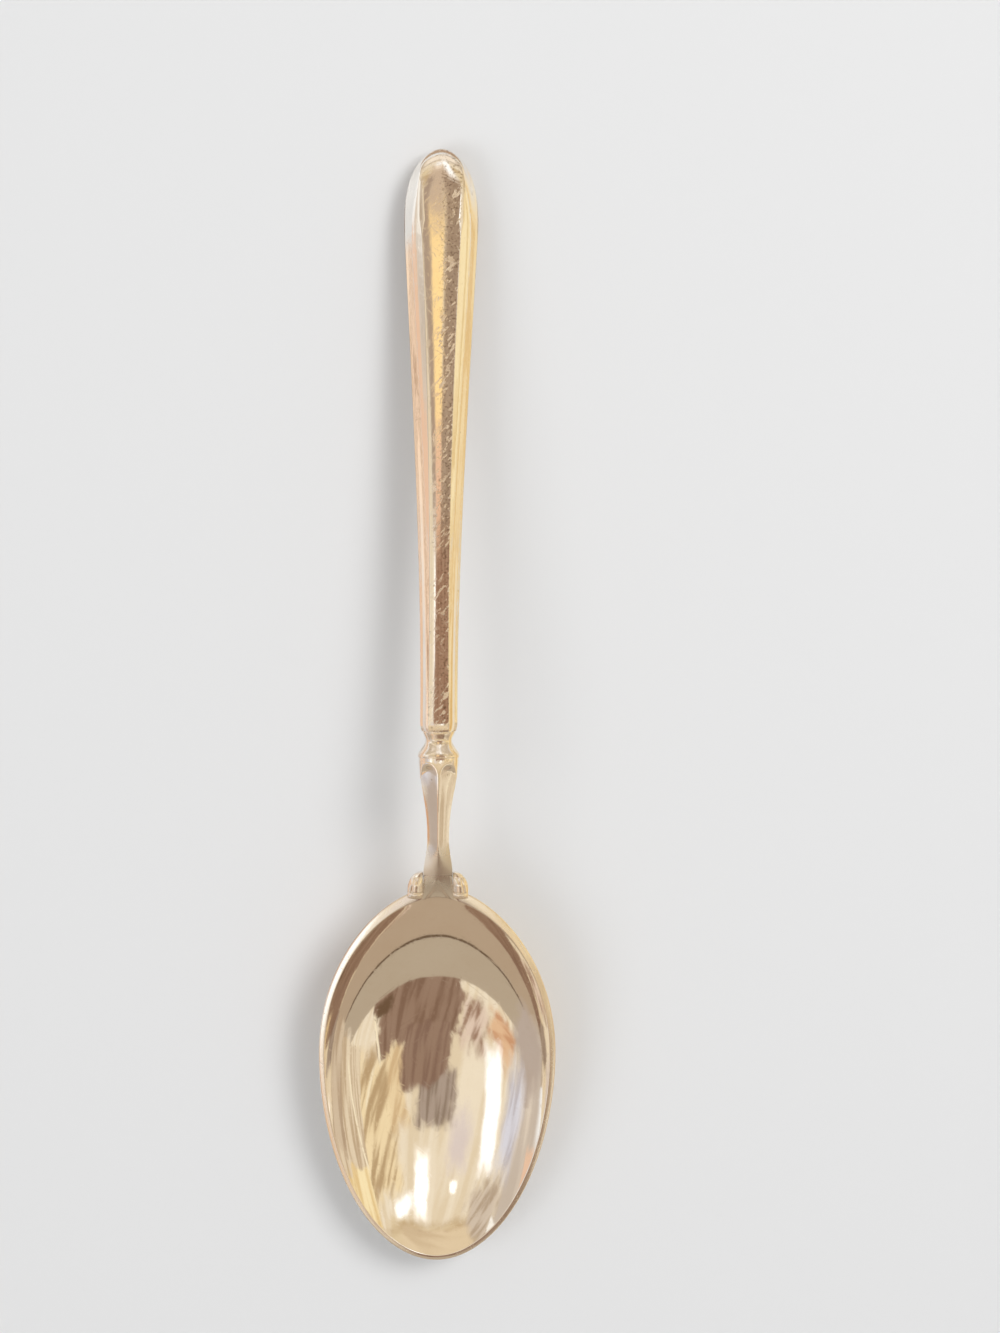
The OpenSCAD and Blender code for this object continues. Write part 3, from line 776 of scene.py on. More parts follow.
# Depth of each kind of wear, in bump units
PIT_DEPTH = 1.2
DING_DEPTH = 1.0
WAVE_DEPTH = 6

# Scales of the noises, in waves per metre
WAVE_SCALE = 320.0
GRAIN_SCALE = 2600.0
FRECKLE_SCALE = 3600.0

# Colours of the wear, how far the pits take theirs, and where the freckled side begins. The freckles are
# tarnish spots, but keeping them to the right half is painted reflection, the dark speckle of a mirrored
# dark room
PIT_TINT = (0.3, 0.22, 0.15)
PIT_COVER = 0.5
FRECKLE_SHADE = 0.5
SATIN_SHADE = 0.74
LEFT_DINGS = 0.35
SPECKLE_SIDE_EDGE = 0.8 * MM


def silver(name, base, film, cover, roughness, scratch=0.3, pit_size=0.2, drawn=0.0, wave=0.4, grain=0.0,
           freckle=0.0, satin=None):
    """Worn silver: a warm film in clouds, hairline scratches, small pits, lengthwise polishing marks,
    and a surface that waves a little. Darker freckles lie on the right half only: the spots are tarnish,
    but their one-sided spread is a painted reflection of a dark room. The dings, which are roughness and
    bumps, are weaker on the left. Satin is two places along the spoon, between which the polish gives
    way."""
    material, n, shader, place = new_material(name)
    film_mask = effect(n, "patina", warm_film, Vector=place, Cover=cover)
    lines = effect(n, "hairlines", hairlines, Vector=place)
    pits = effect(n, "pits", pit_marks, Vector=place, Size=pit_size)
    tint = n.blend(film_mask, shade(base), shade(film))
    tint = n.blend(n.times(pits, PIT_COVER), tint, shade(PIT_TINT))
    rough = [(film_mask, FILM_ROUGH), (lines, SCRATCH_ROUGH * scratch)]
    height = [(lines, -scratch), (pits, -PIT_DEPTH), (n.noise(place, WAVE_SCALE, 2.0), wave * WAVE_DEPTH)]
    # Painted reflection: the darker freckles keep to the right half, where the panel would mirror a dark
    # room; the spots themselves are tarnish
    if freckle:
        painted_speckle_side = n.ramp(n.axes(place)["X"], -SPECKLE_SIDE_EDGE, SPECKLE_SIDE_EDGE)
        spots = n.times(n.ramp(n.noise(place, FRECKLE_SCALE, 3.0, 0.6), 0.52, 0.66), painted_speckle_side)
        tint = n.blend(n.times(spots, freckle), tint, shade(film, FRECKLE_SHADE))
        dings = effect(n, "dings", ding_marks, Vector=place)
        dings = n.times(dings, n.plus(n.times(painted_speckle_side, 1 - LEFT_DINGS), LEFT_DINGS))
        rough.append((dings, DING_ROUGH))
        height.append((dings, -DING_DEPTH))
    if satin:
        dull = n.ramp(n.axes(place)["Y"], *satin)
        tint = n.blend(dull, tint, shade(base, SATIN_SHADE))
        rough.append((dull, SATIN_ROUGH))
    if grain:
        height.append((n.noise(place, GRAIN_SCALE, 2.0), grain))
    if drawn:
        height.append((effect(n, "drawn marks", drawn_marks, Vector=place), drawn))
    n.fill(shader, {"Metallic": 1.0, "Base Color": tint,
                    "Roughness": n.total(roughness, rough + [(pits, PIT_ROUGH)]),
                    "Normal": n.bump(n.total(0.0, height), BUMP_UNIT)})
    return material


def heel_satin(bowl, start, full):
    """The heel's satin, from its first place to where it is full, in millimetres from the rim's back."""
    back = bowl.back - FORMS["stem"].spoon_len / 2
    return back + start * MM, back + full * MM


def plain_finish(name, base, metallic, roughness, scale, bump):
    """A hidden piece's finish: a cloudy colour with grain."""
    material, n, shader, place = new_material(name)
    clouds = n.noise(place, scale, 4.0)
    n.fill(shader, {"Metallic": metallic, "Base Color": n.blend(clouds, shade(base), shade(base, 0.6)),
                    "Roughness": n.total(roughness, [(clouds, CLOUD_ROUGH)]),
                    "Normal": n.bump(n.noise(place, scale * 6, 3.0), bump)})
    return material


# Pieces

class TEASPOON_OT_bowl(Operator):
    """Adds the bowl: the back, the ground rim and the hollow, with the tongue at the heel"""

    bl_idname = "teaspoon.bowl"
    bl_label = "Bowl"

    def execute(self, context):
        forms = read_forms(context)
        form, heel = forms["bowl"], forms["heel"]
        s = form.s
        points, under_rings, corner_rings, flat_rings, hollow_rings = 512, 30, 6, 24, 84
        half = points / 2
        k = np.arange(points)
        turn = np.where(k <= half, np.pi / 2 * (1 - np.cos(np.pi * k / half)),
                        -np.pi / 2 * (1 - np.cos(np.pi * (points - k) / half)))
        rim_x, rim_y = form.rim_point(turn)
        lip_x, lip_y = form.lip_point(turn)
        root_x, root_y = form.egg_point(turn, form.half, s.front, s.rear, s.back_power)
        at_tongue = heel.cover(rim_x) * (rim_y > s.front)
        gap = np.maximum(np.hypot(rim_x - lip_x, rim_y - lip_y), 1e-9)
        fall = np.minimum(s.rim_tilt * gap, s.rim_fall) * (1 - at_tongue)
        fall_power = 1.3
        rings = []

        def shrunk(x, y, r):
            """An outline drawn in by a ratio towards the middle of the widest place."""
            return x * r, s.front + (y - s.front) * r

        def flat_ring(t, drop):
            """Adds a ring across the ground flat, from the rim at 0 to the lip at 1, less a drop."""
            x, y = mix(rim_x, lip_x, t), mix(rim_y, lip_y, t)
            rings.append(points_at(x, y, heel.top(x, y) - drop - fall * (1 - t) ** fall_power))

        middle_share, near_share = 0.02, 0.985
        for r in np.linspace(middle_share, near_share, under_rings):
            x, y = shrunk(root_x, root_y, r)
            rings.append(points_at(x, y, form.under_z(x, y)))
        near_x, near_y = shrunk(root_x, root_y, near_share)
        for t in (0.3, 0.6, 0.9):
            x, y = mix(near_x, rim_x, t), mix(near_y, rim_y, t)
            rings.append(points_at(x, y, heel.top(x, y) - heel.thickness(x, y)))

        # the rim's edge, as how far each ring lies inside the outline and below the flat
        tongue_round_share, low_inset_share, next_inset_share, next_rise_share = 0.05, 0.35, 0.08, 0.3
        edge = mix(s.rim_round, tongue_round_share * s.lip_round, at_tongue)
        side = heel.thickness(rim_x, rim_y) - fall
        low = [(low_inset_share * edge, side), (next_inset_share * edge, side - next_rise_share * edge),
               (0 * edge, side - edge)]
        corner = [(edge * (1 - math.cos(a)), edge * (1 - math.sin(a)))
                  for a in np.linspace(0, math.pi / 2, corner_rings)]
        flat_inset, inset_limit, lip_limit = 1.3 * edge, 0.4, 0.25
        for inset, drop in low + corner + [(flat_inset, 0)]:
            flat_ring(np.minimum(inset / gap, inset_limit), drop)
        flat_start = len(rings) - 1
        first = np.minimum(flat_inset / gap, inset_limit)
        last = 1 - np.minimum(s.lip_round / gap, lip_limit)
        for t in np.linspace(0, 1, flat_rings)[1:]:
            flat_ring(mix(first, last, t), 0)
        flat_end = len(rings) - 1
        lip_drop_share = 0.06
        for back in (0.6, 0.25):
            t = 1 - np.minimum(back * s.lip_round / gap, lip_limit)
            x, y = mix(rim_x, lip_x, t), mix(rim_y, lip_y, t)
            drop = lip_drop_share * s.lip_round * (1 - back) * (1 - heel.cover(x) * (y > s.front))
            rings.append(points_at(x, y, heel.top(x, y) - drop))
        for r in np.concatenate([[0.9985, 0.996], np.linspace(0.99, middle_share, hollow_rings)]):
            x, y = shrunk(lip_x, lip_y, r)
            rings.append(points_at(x, y, heel.top(x, y)))

        count = len(rings)
        middle = [[0, s.front, form.under_z(0, s.front)], [0, s.front, form.hollow_z(0, s.front)]]
        vertices = np.concatenate([np.concatenate(rings), np.array(middle)])
        last, low, high = (count - 1) * points, count * points, count * points + 1
        after = (k + 1) % points
        fans = np.concatenate([np.stack([0 * k + low, k, after], -1),
                               np.stack([0 * k + high, last + after, last + k], -1)]).tolist()
        obj = make_piece("bowl_skin", vertices, ring_faces(count, points), fans)
        band = np.zeros(len(obj.data.polygons), np.int32)
        ground = np.abs(rim_x) > form.tongue_half + s.rim_flat
        band[flat_start * points:flat_end * points] = np.tile(ground, flat_end - flat_start)
        finish = context.scene.teaspoon_finish
        obj.data.materials.append(silver("bowl_silver", finish.silver, finish.patina, 0.12, 0.045,
                                         scratch=0.2, pit_size=0.0, wave=0.3,
                                         satin=heel_satin(form, -2.4, 0.6)))
        obj.data.materials.append(silver("ground_rim", finish.rim, finish.patina, 0.08, 0.2,
                                         scratch=0.6, pit_size=0.1, wave=0.5, grain=0.6))
        obj.data.polygons.foreach_set("material_index", band)
        sharpen(obj, 35)
        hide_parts("bowl")
        return {"FINISHED"}


class TEASPOON_OT_stem(Operator):
    """Adds the faceted stem, with its drop under the bowl and the seat of the bowl's tongue"""

    bl_idname = "teaspoon.stem"
    bl_label = "Stem"

    def execute(self, context):
        forms = read_forms(context)
        bowl, form, heel = forms["bowl"], forms["stem"], forms["heel"]
        s, gap = form.s, form.s.solder_gap
        facet_points, belly_points, drop_rings, seat_rings, stem_rings = 36, 24, 30, 16, 150
        shares = np.linspace(0, 1, facet_points)
        phi = np.linspace(0, np.pi / 2, belly_points)
        belly_side, seat_side = 0.18, 0.45
        belly_x, belly_z = np.cos(phi), -mix(belly_side, 1, np.sin(phi))
        joint = 0.05 * MM
        rings = []

        def close(top, low):
            """Adds rings from half sections, given from the ridge to the side and from there down to
            the belly's middle, with their mirror images."""
            right = np.concatenate([top, low], 1)
            left = right[:, -2:0:-1].copy()
            left[..., 0] *= -1
            rings.append(np.concatenate([right, left], 1))

        # the drop under the bowl
        tip_share, tip_bunching = 0.012, 1.5
        t = np.linspace(tip_share, 1, drop_rings)[:, None] ** tip_bunching
        y = mix(bowl.back - s.drop_len, bowl.back + joint, t)
        h = s.heel_width / 2 * np.sqrt(t)
        depth = (form.heel_drop + s.heel_thickness / 2 - bowl.s.rim_edge - gap) * np.sqrt(t)
        x = h * belly_x
        close(points_at(h * shares, y, bowl.under_z(h * shares, y) - gap),
              points_at(x, y, bowl.under_z(x, y) - gap + depth * belly_z))

        # the seat of the bowl's tongue
        y = np.linspace(bowl.back + 3 * joint, bowl.tongue_tip - joint, seat_rings)[:, None]
        h = form.half(y)
        x = h * shares
        side = mix(seat_side, belly_side, (y - bowl.back) / bowl.s.tongue_len)
        close(points_at(x, y, heel.top(x, y) - heel.thickness(x, y) - joint),
              form.lay(y, h * belly_x, -form.half_thickness(y) * mix(side, 1, np.sin(phi))))

        # the stem itself
        y = np.linspace(bowl.tongue_tip + 0.1 * joint, form.end, stem_rings)[:, None]
        h = form.half(y)
        close(form.lay(y, h * shares, form.facet(y, shares)),
              form.lay(y, h * belly_x, form.half_thickness(y) * belly_z))
        obj = loft("stem_skin", np.concatenate(rings))
        finish = context.scene.teaspoon_finish
        obj.data.materials.append(silver("stem_silver", finish.silver, finish.patina, 0.12, 0.09,
                                         wave=0.8, grain=0.4, satin=heel_satin(bowl, 7.0, 3.4)))
        sharpen(obj, 32)
        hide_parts("stem")
        return {"FINISHED"}


class TEASPOON_OT_scrolls(Operator):
    """Adds the scrolls beside the heel: a rounded body, a groove, an outer bead and a rolled nose"""

    bl_idname = "teaspoon.scrolls"
    bl_label = "Scrolls"

    def execute(self, context):
        forms = read_forms(context)
        bowl, form = forms["bowl"], forms["stem"]
        s, joint = form.s, 0.05 * MM
        rings, points = 60, 41
        top = bowl.back + s.scroll_len - s.scroll_lap
        y = np.linspace(top, bowl.back - s.scroll_lap, rings)[:, None]
        t = (top - y) / s.scroll_len
        v = np.linspace(0, 1, points)
        inner = np.maximum(form.half(y), np.where(y < bowl.back, s.heel_width / 2, 0)) + joint

        # shares of the scroll's length at which it is full, and where its nose begins
        wide_share, high_share, nose_share, nose_depth_share = 0.7, 0.5, 0.18, 0.24
        least_width_share, least_height_share = 0.15, 0.35
        widen = np.sqrt(1 - np.maximum(0, 1 - t / wide_share) ** 2)
        wide = s.scroll_width * np.maximum(least_width_share, widen)
        nose = np.sqrt(np.maximum(0, 1 - (np.maximum(0, t - 1 + nose_share) / nose_depth_share) ** 2))
        lift = s.scroll_height * np.maximum(least_height_share, ease(t / high_share)) * nose

        # a groove sets the outer bead off, and a crease lies across before the nose
        body_start, body_run, body_power, least_body = 0.1, 0.86, 0.8, 0.05
        groove_at, groove_lean, groove_width, groove_depth = 0.66, 0.1, 0.055, 0.18
        groove_start, start_run, groove_stop, stop_run = 0.12, 0.2, 0.7, 0.1
        crease_at, crease_width, crease_depth = 0.79, 0.035, 0.2
        body = np.sin(np.pi * (body_start + body_run * v)) ** body_power
        groove = np.exp(-((v - groove_at - groove_lean * t) / groove_width) ** 2)
        groove = groove * ease((t - groove_start) / start_run) * (1 - ease((t - groove_stop) / stop_run))
        crease = np.exp(-((t - crease_at) / crease_width) ** 2)
        section = body - groove_depth * groove - crease_depth * crease * body
        rim = bowl.set_down + bowl.s.rim_rise * (y / bowl.back) ** 2
        skin = points_at(inner + wide * v, y, rim + joint + lift * np.clip(section, least_body, 1))
        sink = np.where(y > bowl.back + joint, (s.heel_thickness - form.heel_drop) / 4, -joint)
        feet = [points_at(x, y, rim - sink) for x in (inner + wide, inner)]
        right = np.concatenate([skin, *feet], 1)
        finish = context.scene.teaspoon_finish
        metal = silver("scroll_silver", finish.silver, finish.patina, 0.12, 0.22)
        for name, side in (("left_scroll", -1), ("right_scroll", 1)):
            obj = loft(name + "_skin", right * np.array([side, 1, 1]))
            obj.data.materials.append(metal)
            sharpen(obj, 40)
            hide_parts(name)
        return {"FINISHED"}


class TEASPOON_OT_collar(Operator):
    """Adds the waisted collar between the stem and the handle"""

    bl_idname = "teaspoon.collar"
    bl_label = "Collar"

    def execute(self, context):
        forms = read_forms(context)
        form, handle = forms["stem"], forms["handle"]
        s = form.s
        rings, points = 60, 128
        edge_share, edge_step, edge_fall, waist_share, mouth_fit = 0.04, 0.012, 0.02, 0.66, 0.99
        u = np.concatenate([[0, edge_step], np.linspace(edge_share, 1, rings)])[:, None]
        mouth = 2 * handle.half(np.array(0.0)) * mouth_fit
        before = u < waist_share
        target = np.where(before, s.collar_rim, mouth)
        t = np.where(before, (waist_share - u) / (waist_share - edge_share),
                     (u - waist_share) / (1 - waist_share))
        half = mix(s.collar_waist, target, ease(t)) / 2 * (1 - edge_fall * ease(1 - u / edge_share))
        angle = np.linspace(0, 2 * np.pi, points, endpoint=False)
        skin = points_at(half * np.cos(angle), u * s.collar_len,
                         half * s.collar_flat * np.sin(angle))
        obj = loft("collar_skin", form.along_handle(skin))
        finish = context.scene.teaspoon_finish
        obj.data.materials.append(silver("collar_silver", finish.silver, finish.patina, 0.25, 0.17))
        sharpen(obj, 40)
        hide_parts("collar")
        return {"FINISHED"}


class TEASPOON_OT_handle(Operator):
    """Adds the two stamped halves of the handle's shell and the soldered seam between them"""

    bl_idname = "teaspoon.handle"
    bl_label = "Handle"

    def execute(self, context):
        forms = read_forms(context)
        form, handle = forms["stem"], forms["handle"]
        h = handle.s
        s = handle.places()
        corners = handle.corners(s)
        melt_share, side_points, corner_points = 0.8, (14, 4, 4, 3, 3), 8
        melt = h.end_melt * ease((s - h.length + h.melt_run) / (melt_share * h.melt_run))[:, None]
        soft = h.crease_round + melt
        right = rounded(corners, (soft, h.length, soft, soft), side_points, corner_points)
        across = right[..., 0] / np.maximum(corners[:, 1, :1], 1e-9)
        right[..., 1] += (h.crown * handle.roll(s))[:, None] * np.maximum(0, 1 - across ** 2)
        half, rise = handle.half(s)[:, None], handle.rise(s)[:, None]
        beside = np.minimum(right[..., 0] / np.maximum(half, 1e-9), 1)
        dome = h.end_dome * ease((s - h.length + h.dome_run) / h.dome_run)[:, None]
        right[..., 1] = mix(right[..., 1], rise * np.sqrt(1 - beside ** 2), dome)
        left = right[:, :0:-1].copy()
        left[..., 0] *= -1
        outer = np.concatenate([left, right], 1)

        # the shell's inside: fewer points, drawn in by the sheet's thickness
        wall_points, panel_points = 16, 18
        shrink_x = 1 - h.wall / handle.side(s)
        shrink_z = 1 - h.wall / handle.rise_line(s)
        shrink_s = 1 - 2 * h.wall / h.length
        picks = np.linspace(0, outer.shape[1] - 1, wall_points).astype(int)
        inner = outer[:, picks] * np.stack([shrink_x, shrink_z], -1)[:, None, :]
        start = form.s.collar_len
        skins = [points_at(skin[..., 0], place[:, None] + start, skin[..., 1] + h.seam / 2)
                 for skin, place in ((outer, s), (inner[:, ::-1], s * shrink_s))]
        rings = np.concatenate(skins, 1)
        finish = context.scene.teaspoon_finish
        metal = silver("handle_silver", finish.silver, finish.patina, 0.1, 0.08, scratch=0.35,
                       pit_size=0.12, drawn=1.6, wave=0.8, grain=0.3)
        # The panel's finish carries real wear and the painted right-half speckle
        wear_and_painted_speckle = silver("panel_silver", finish.silver, finish.patina, 0.14, 0.1, scratch=0.45,
                      pit_size=0.3, drawn=0.5, wave=0.8, grain=0.4, freckle=0.7)
        from_middle = np.abs(np.arange(rings.shape[1]) - (right.shape[1] - 1))
        panel = np.tile(from_middle < panel_points, len(s) - 1)
        for name, side in (("handle_front", 1), ("handle_back", -1)):
            points = form.along_handle(rings * np.array([1, 1, side]))
            obj = loft(name + "_skin", points, outer.shape[1])
            obj.data.materials.append(metal)
            obj.data.materials.append(wear_and_painted_speckle)
            slots = np.zeros(len(obj.data.polygons), np.int32)
            slots[:panel.size] = panel
            obj.data.polygons.foreach_set("material_index", slots)
            sharpen(obj, 30)
            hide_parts(name)

        # the seam: a strip round the edge, from mouth to mouth
        edge = np.concatenate([-handle.half(s), handle.half(s)[::-1]])
        place = np.concatenate([s, s[::-1]])
        shrink = np.concatenate([shrink_x, shrink_x[::-1]])
        seam_inset = 0.02 * MM
        line = points_at(edge - np.sign(edge) * seam_inset, place + start, 0)
        inside = points_at(edge * shrink, place * shrink_s + start, 0)
        up = np.array([0, 0, h.seam / 2])
        strip = np.stack([line + up, line - up, inside - up, inside + up], 1)
        obj = loft("seam_skin", form.along_handle(strip))
        obj.data.materials.append(plain_finish("seam_solder", finish.solder, 1.0, 0.35, 900, 0.02 * MM))
        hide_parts("seam_solder")
        return {"FINISHED"}


class TEASPOON_OT_core(Operator):
    """Gives the hidden tang, filling and heel solder their finishes"""

    bl_idname = "teaspoon.core"
    bl_label = "Tang, filling and solder"

    def execute(self, context):
        finish = context.scene.teaspoon_finish
        looks = {"tang": plain_finish("tang_steel", finish.steel, 1.0, 0.5, 500, 0.05 * MM),
                 "handle_filling": plain_finish("filling_resin", finish.resin, 0.0, 0.6, 400, 0.05 * MM),
                 "heel_solder": plain_finish("heel_solder", finish.solder, 1.0, 0.35, 900, 0.02 * MM)}
        for name, material in looks.items():
            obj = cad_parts[name]
            obj.data.materials.clear()
            obj.data.materials.append(material)
        return {"FINISHED"}


# Stage

RIGHT = Vector((1, 0, 0))
ALONG = Vector((0, 1, 0))
UP = Vector((0, 0, 1))
WHITE = (255, 255, 255)
FLOOR_SIDE = 6
CARD_RIM = 0.98
STREAK_STRETCH = 0.12


def area_lamp(name, place, size, power):
    """A soft square lamp that faces the spoon's middle."""
    data = bpy.data.lights.new(name, "AREA")
    data.shape = "RECTANGLE"
    data.size = data.size_y = size
    data.energy = power
    turn = (-Vector(place)).to_track_quat("-Z", "Y").to_matrix().to_4x4()
    lamp = add_object(name, data)
    lamp.matrix_world = Matrix.Translation(place) @ turn
    lamp.visible_glossy = False


def plane(name, size):
    """A flat sheet, seen from above."""
    x, y = size[0] / 2, size[1] / 2
    mesh = bpy.data.meshes.new(name)
    mesh.from_pydata([(-x, -y, 0), (x, -y, 0), (x, y, 0), (-x, y, 0)], [], [(0, 1, 2, 3)])
    return add_object(name, mesh)


def linear(screen):
    """A colour on a screen's 0 to 255 scale as linear shares, by a power of 2.2."""
    return [(c / 255) ** 2.2 for c in screen]


def card(name, place, across, along, size, tint, soft=0.3, streaks=None, ragged=0.5, glow=1.0):
    """A studio card with soft edges, which only polished metal sees: it casts no shadow and no light
    on the floor. Its colours are a screen's. Streaks are a second colour, an angle and how many cross
    the card, and ragged is how far the edges wander."""
    material, n, shader, here = new_material(name)
    longer = max(size)
    wander = n.math("SUBTRACT", n.noise(here, 4 / longer, 5.0, 0.6), 0.5)
    wobble = n.times(wander, ragged)
    sides = n.axes(here)
    mask = 1.0
    for axis, extent in zip("XY", size):
        off = n.math("DIVIDE", n.math("ABSOLUTE", sides[axis]), extent / 2)
        fade = n.ramp(n.plus(off, wobble), 1, 1 - soft)
        mask = n.times(mask, n.times(fade, n.ramp(off, 1, CARD_RIM)))
    shown = shade(linear(tint))
    if streaks:
        second, angle, count = streaks
        turned = n.mapping(here, turn=math.radians(angle))
        drawn = n.mapping(turned, scale=(count / longer, STREAK_STRETCH * count / longer, 1))
        shown = n.blend(n.ramp(n.noise(drawn, 1.0, 3.0), 0.44, 0.6), shown, shade(linear(second)))
    n.fill(shader, {"Base Color": (0, 0, 0, 1), "Specular IOR Level": 0.0, "Emission Color": shown,
                    "Emission Strength": glow, "Alpha": mask})
    thing = plane(name, size)
    thing.data.materials.append(material)
    turn = Matrix((across, along, across.cross(along))).transposed().to_4x4()
    thing.matrix_world = Matrix.Translation(place) @ turn
    thing.visible_camera = False
    thing.visible_diffuse = False
    thing.visible_shadow = False
    thing.visible_transmission = False


def sky_card(centre, name, right, ahead, half_right, half_ahead, far, tint, lean=0, **looks):
    """A card that faces a place: right and ahead are degrees from overhead, to the right and towards
    the handle, the half sizes are degrees too, and lean turns the card on its own middle."""
    angle = math.radians(math.hypot(right, ahead))
    turn = math.atan2(ahead, right)
    way = Vector((math.sin(angle) * math.cos(turn), math.sin(angle) * math.sin(turn), math.cos(angle)))
    across = (RIGHT - way * way.x).normalized()
    along = way.cross(across)
    across, along = [Matrix.Rotation(math.radians(lean), 3, way) @ side for side in (across, along)]
    size = [2 * far * math.tan(math.radians(half)) for half in (half_right, half_ahead)]
    card(name, centre + way * far, across, along, size, tint, **looks)


def flat_card(name, low, high, height, tint, **looks):
    """A level card between two corners."""
    middle = ((low[0] + high[0]) / 2, (low[1] + high[1]) / 2, height)
    card(name, Vector(middle), RIGHT, ALONG, (high[0] - low[0], high[1] - low[1]), tint, **looks)


def wall_card(name, place, size, tint, **looks):
    """An upright card that runs along the spoon."""
    card(name, Vector(place), ALONG, UP, size, tint, **looks)


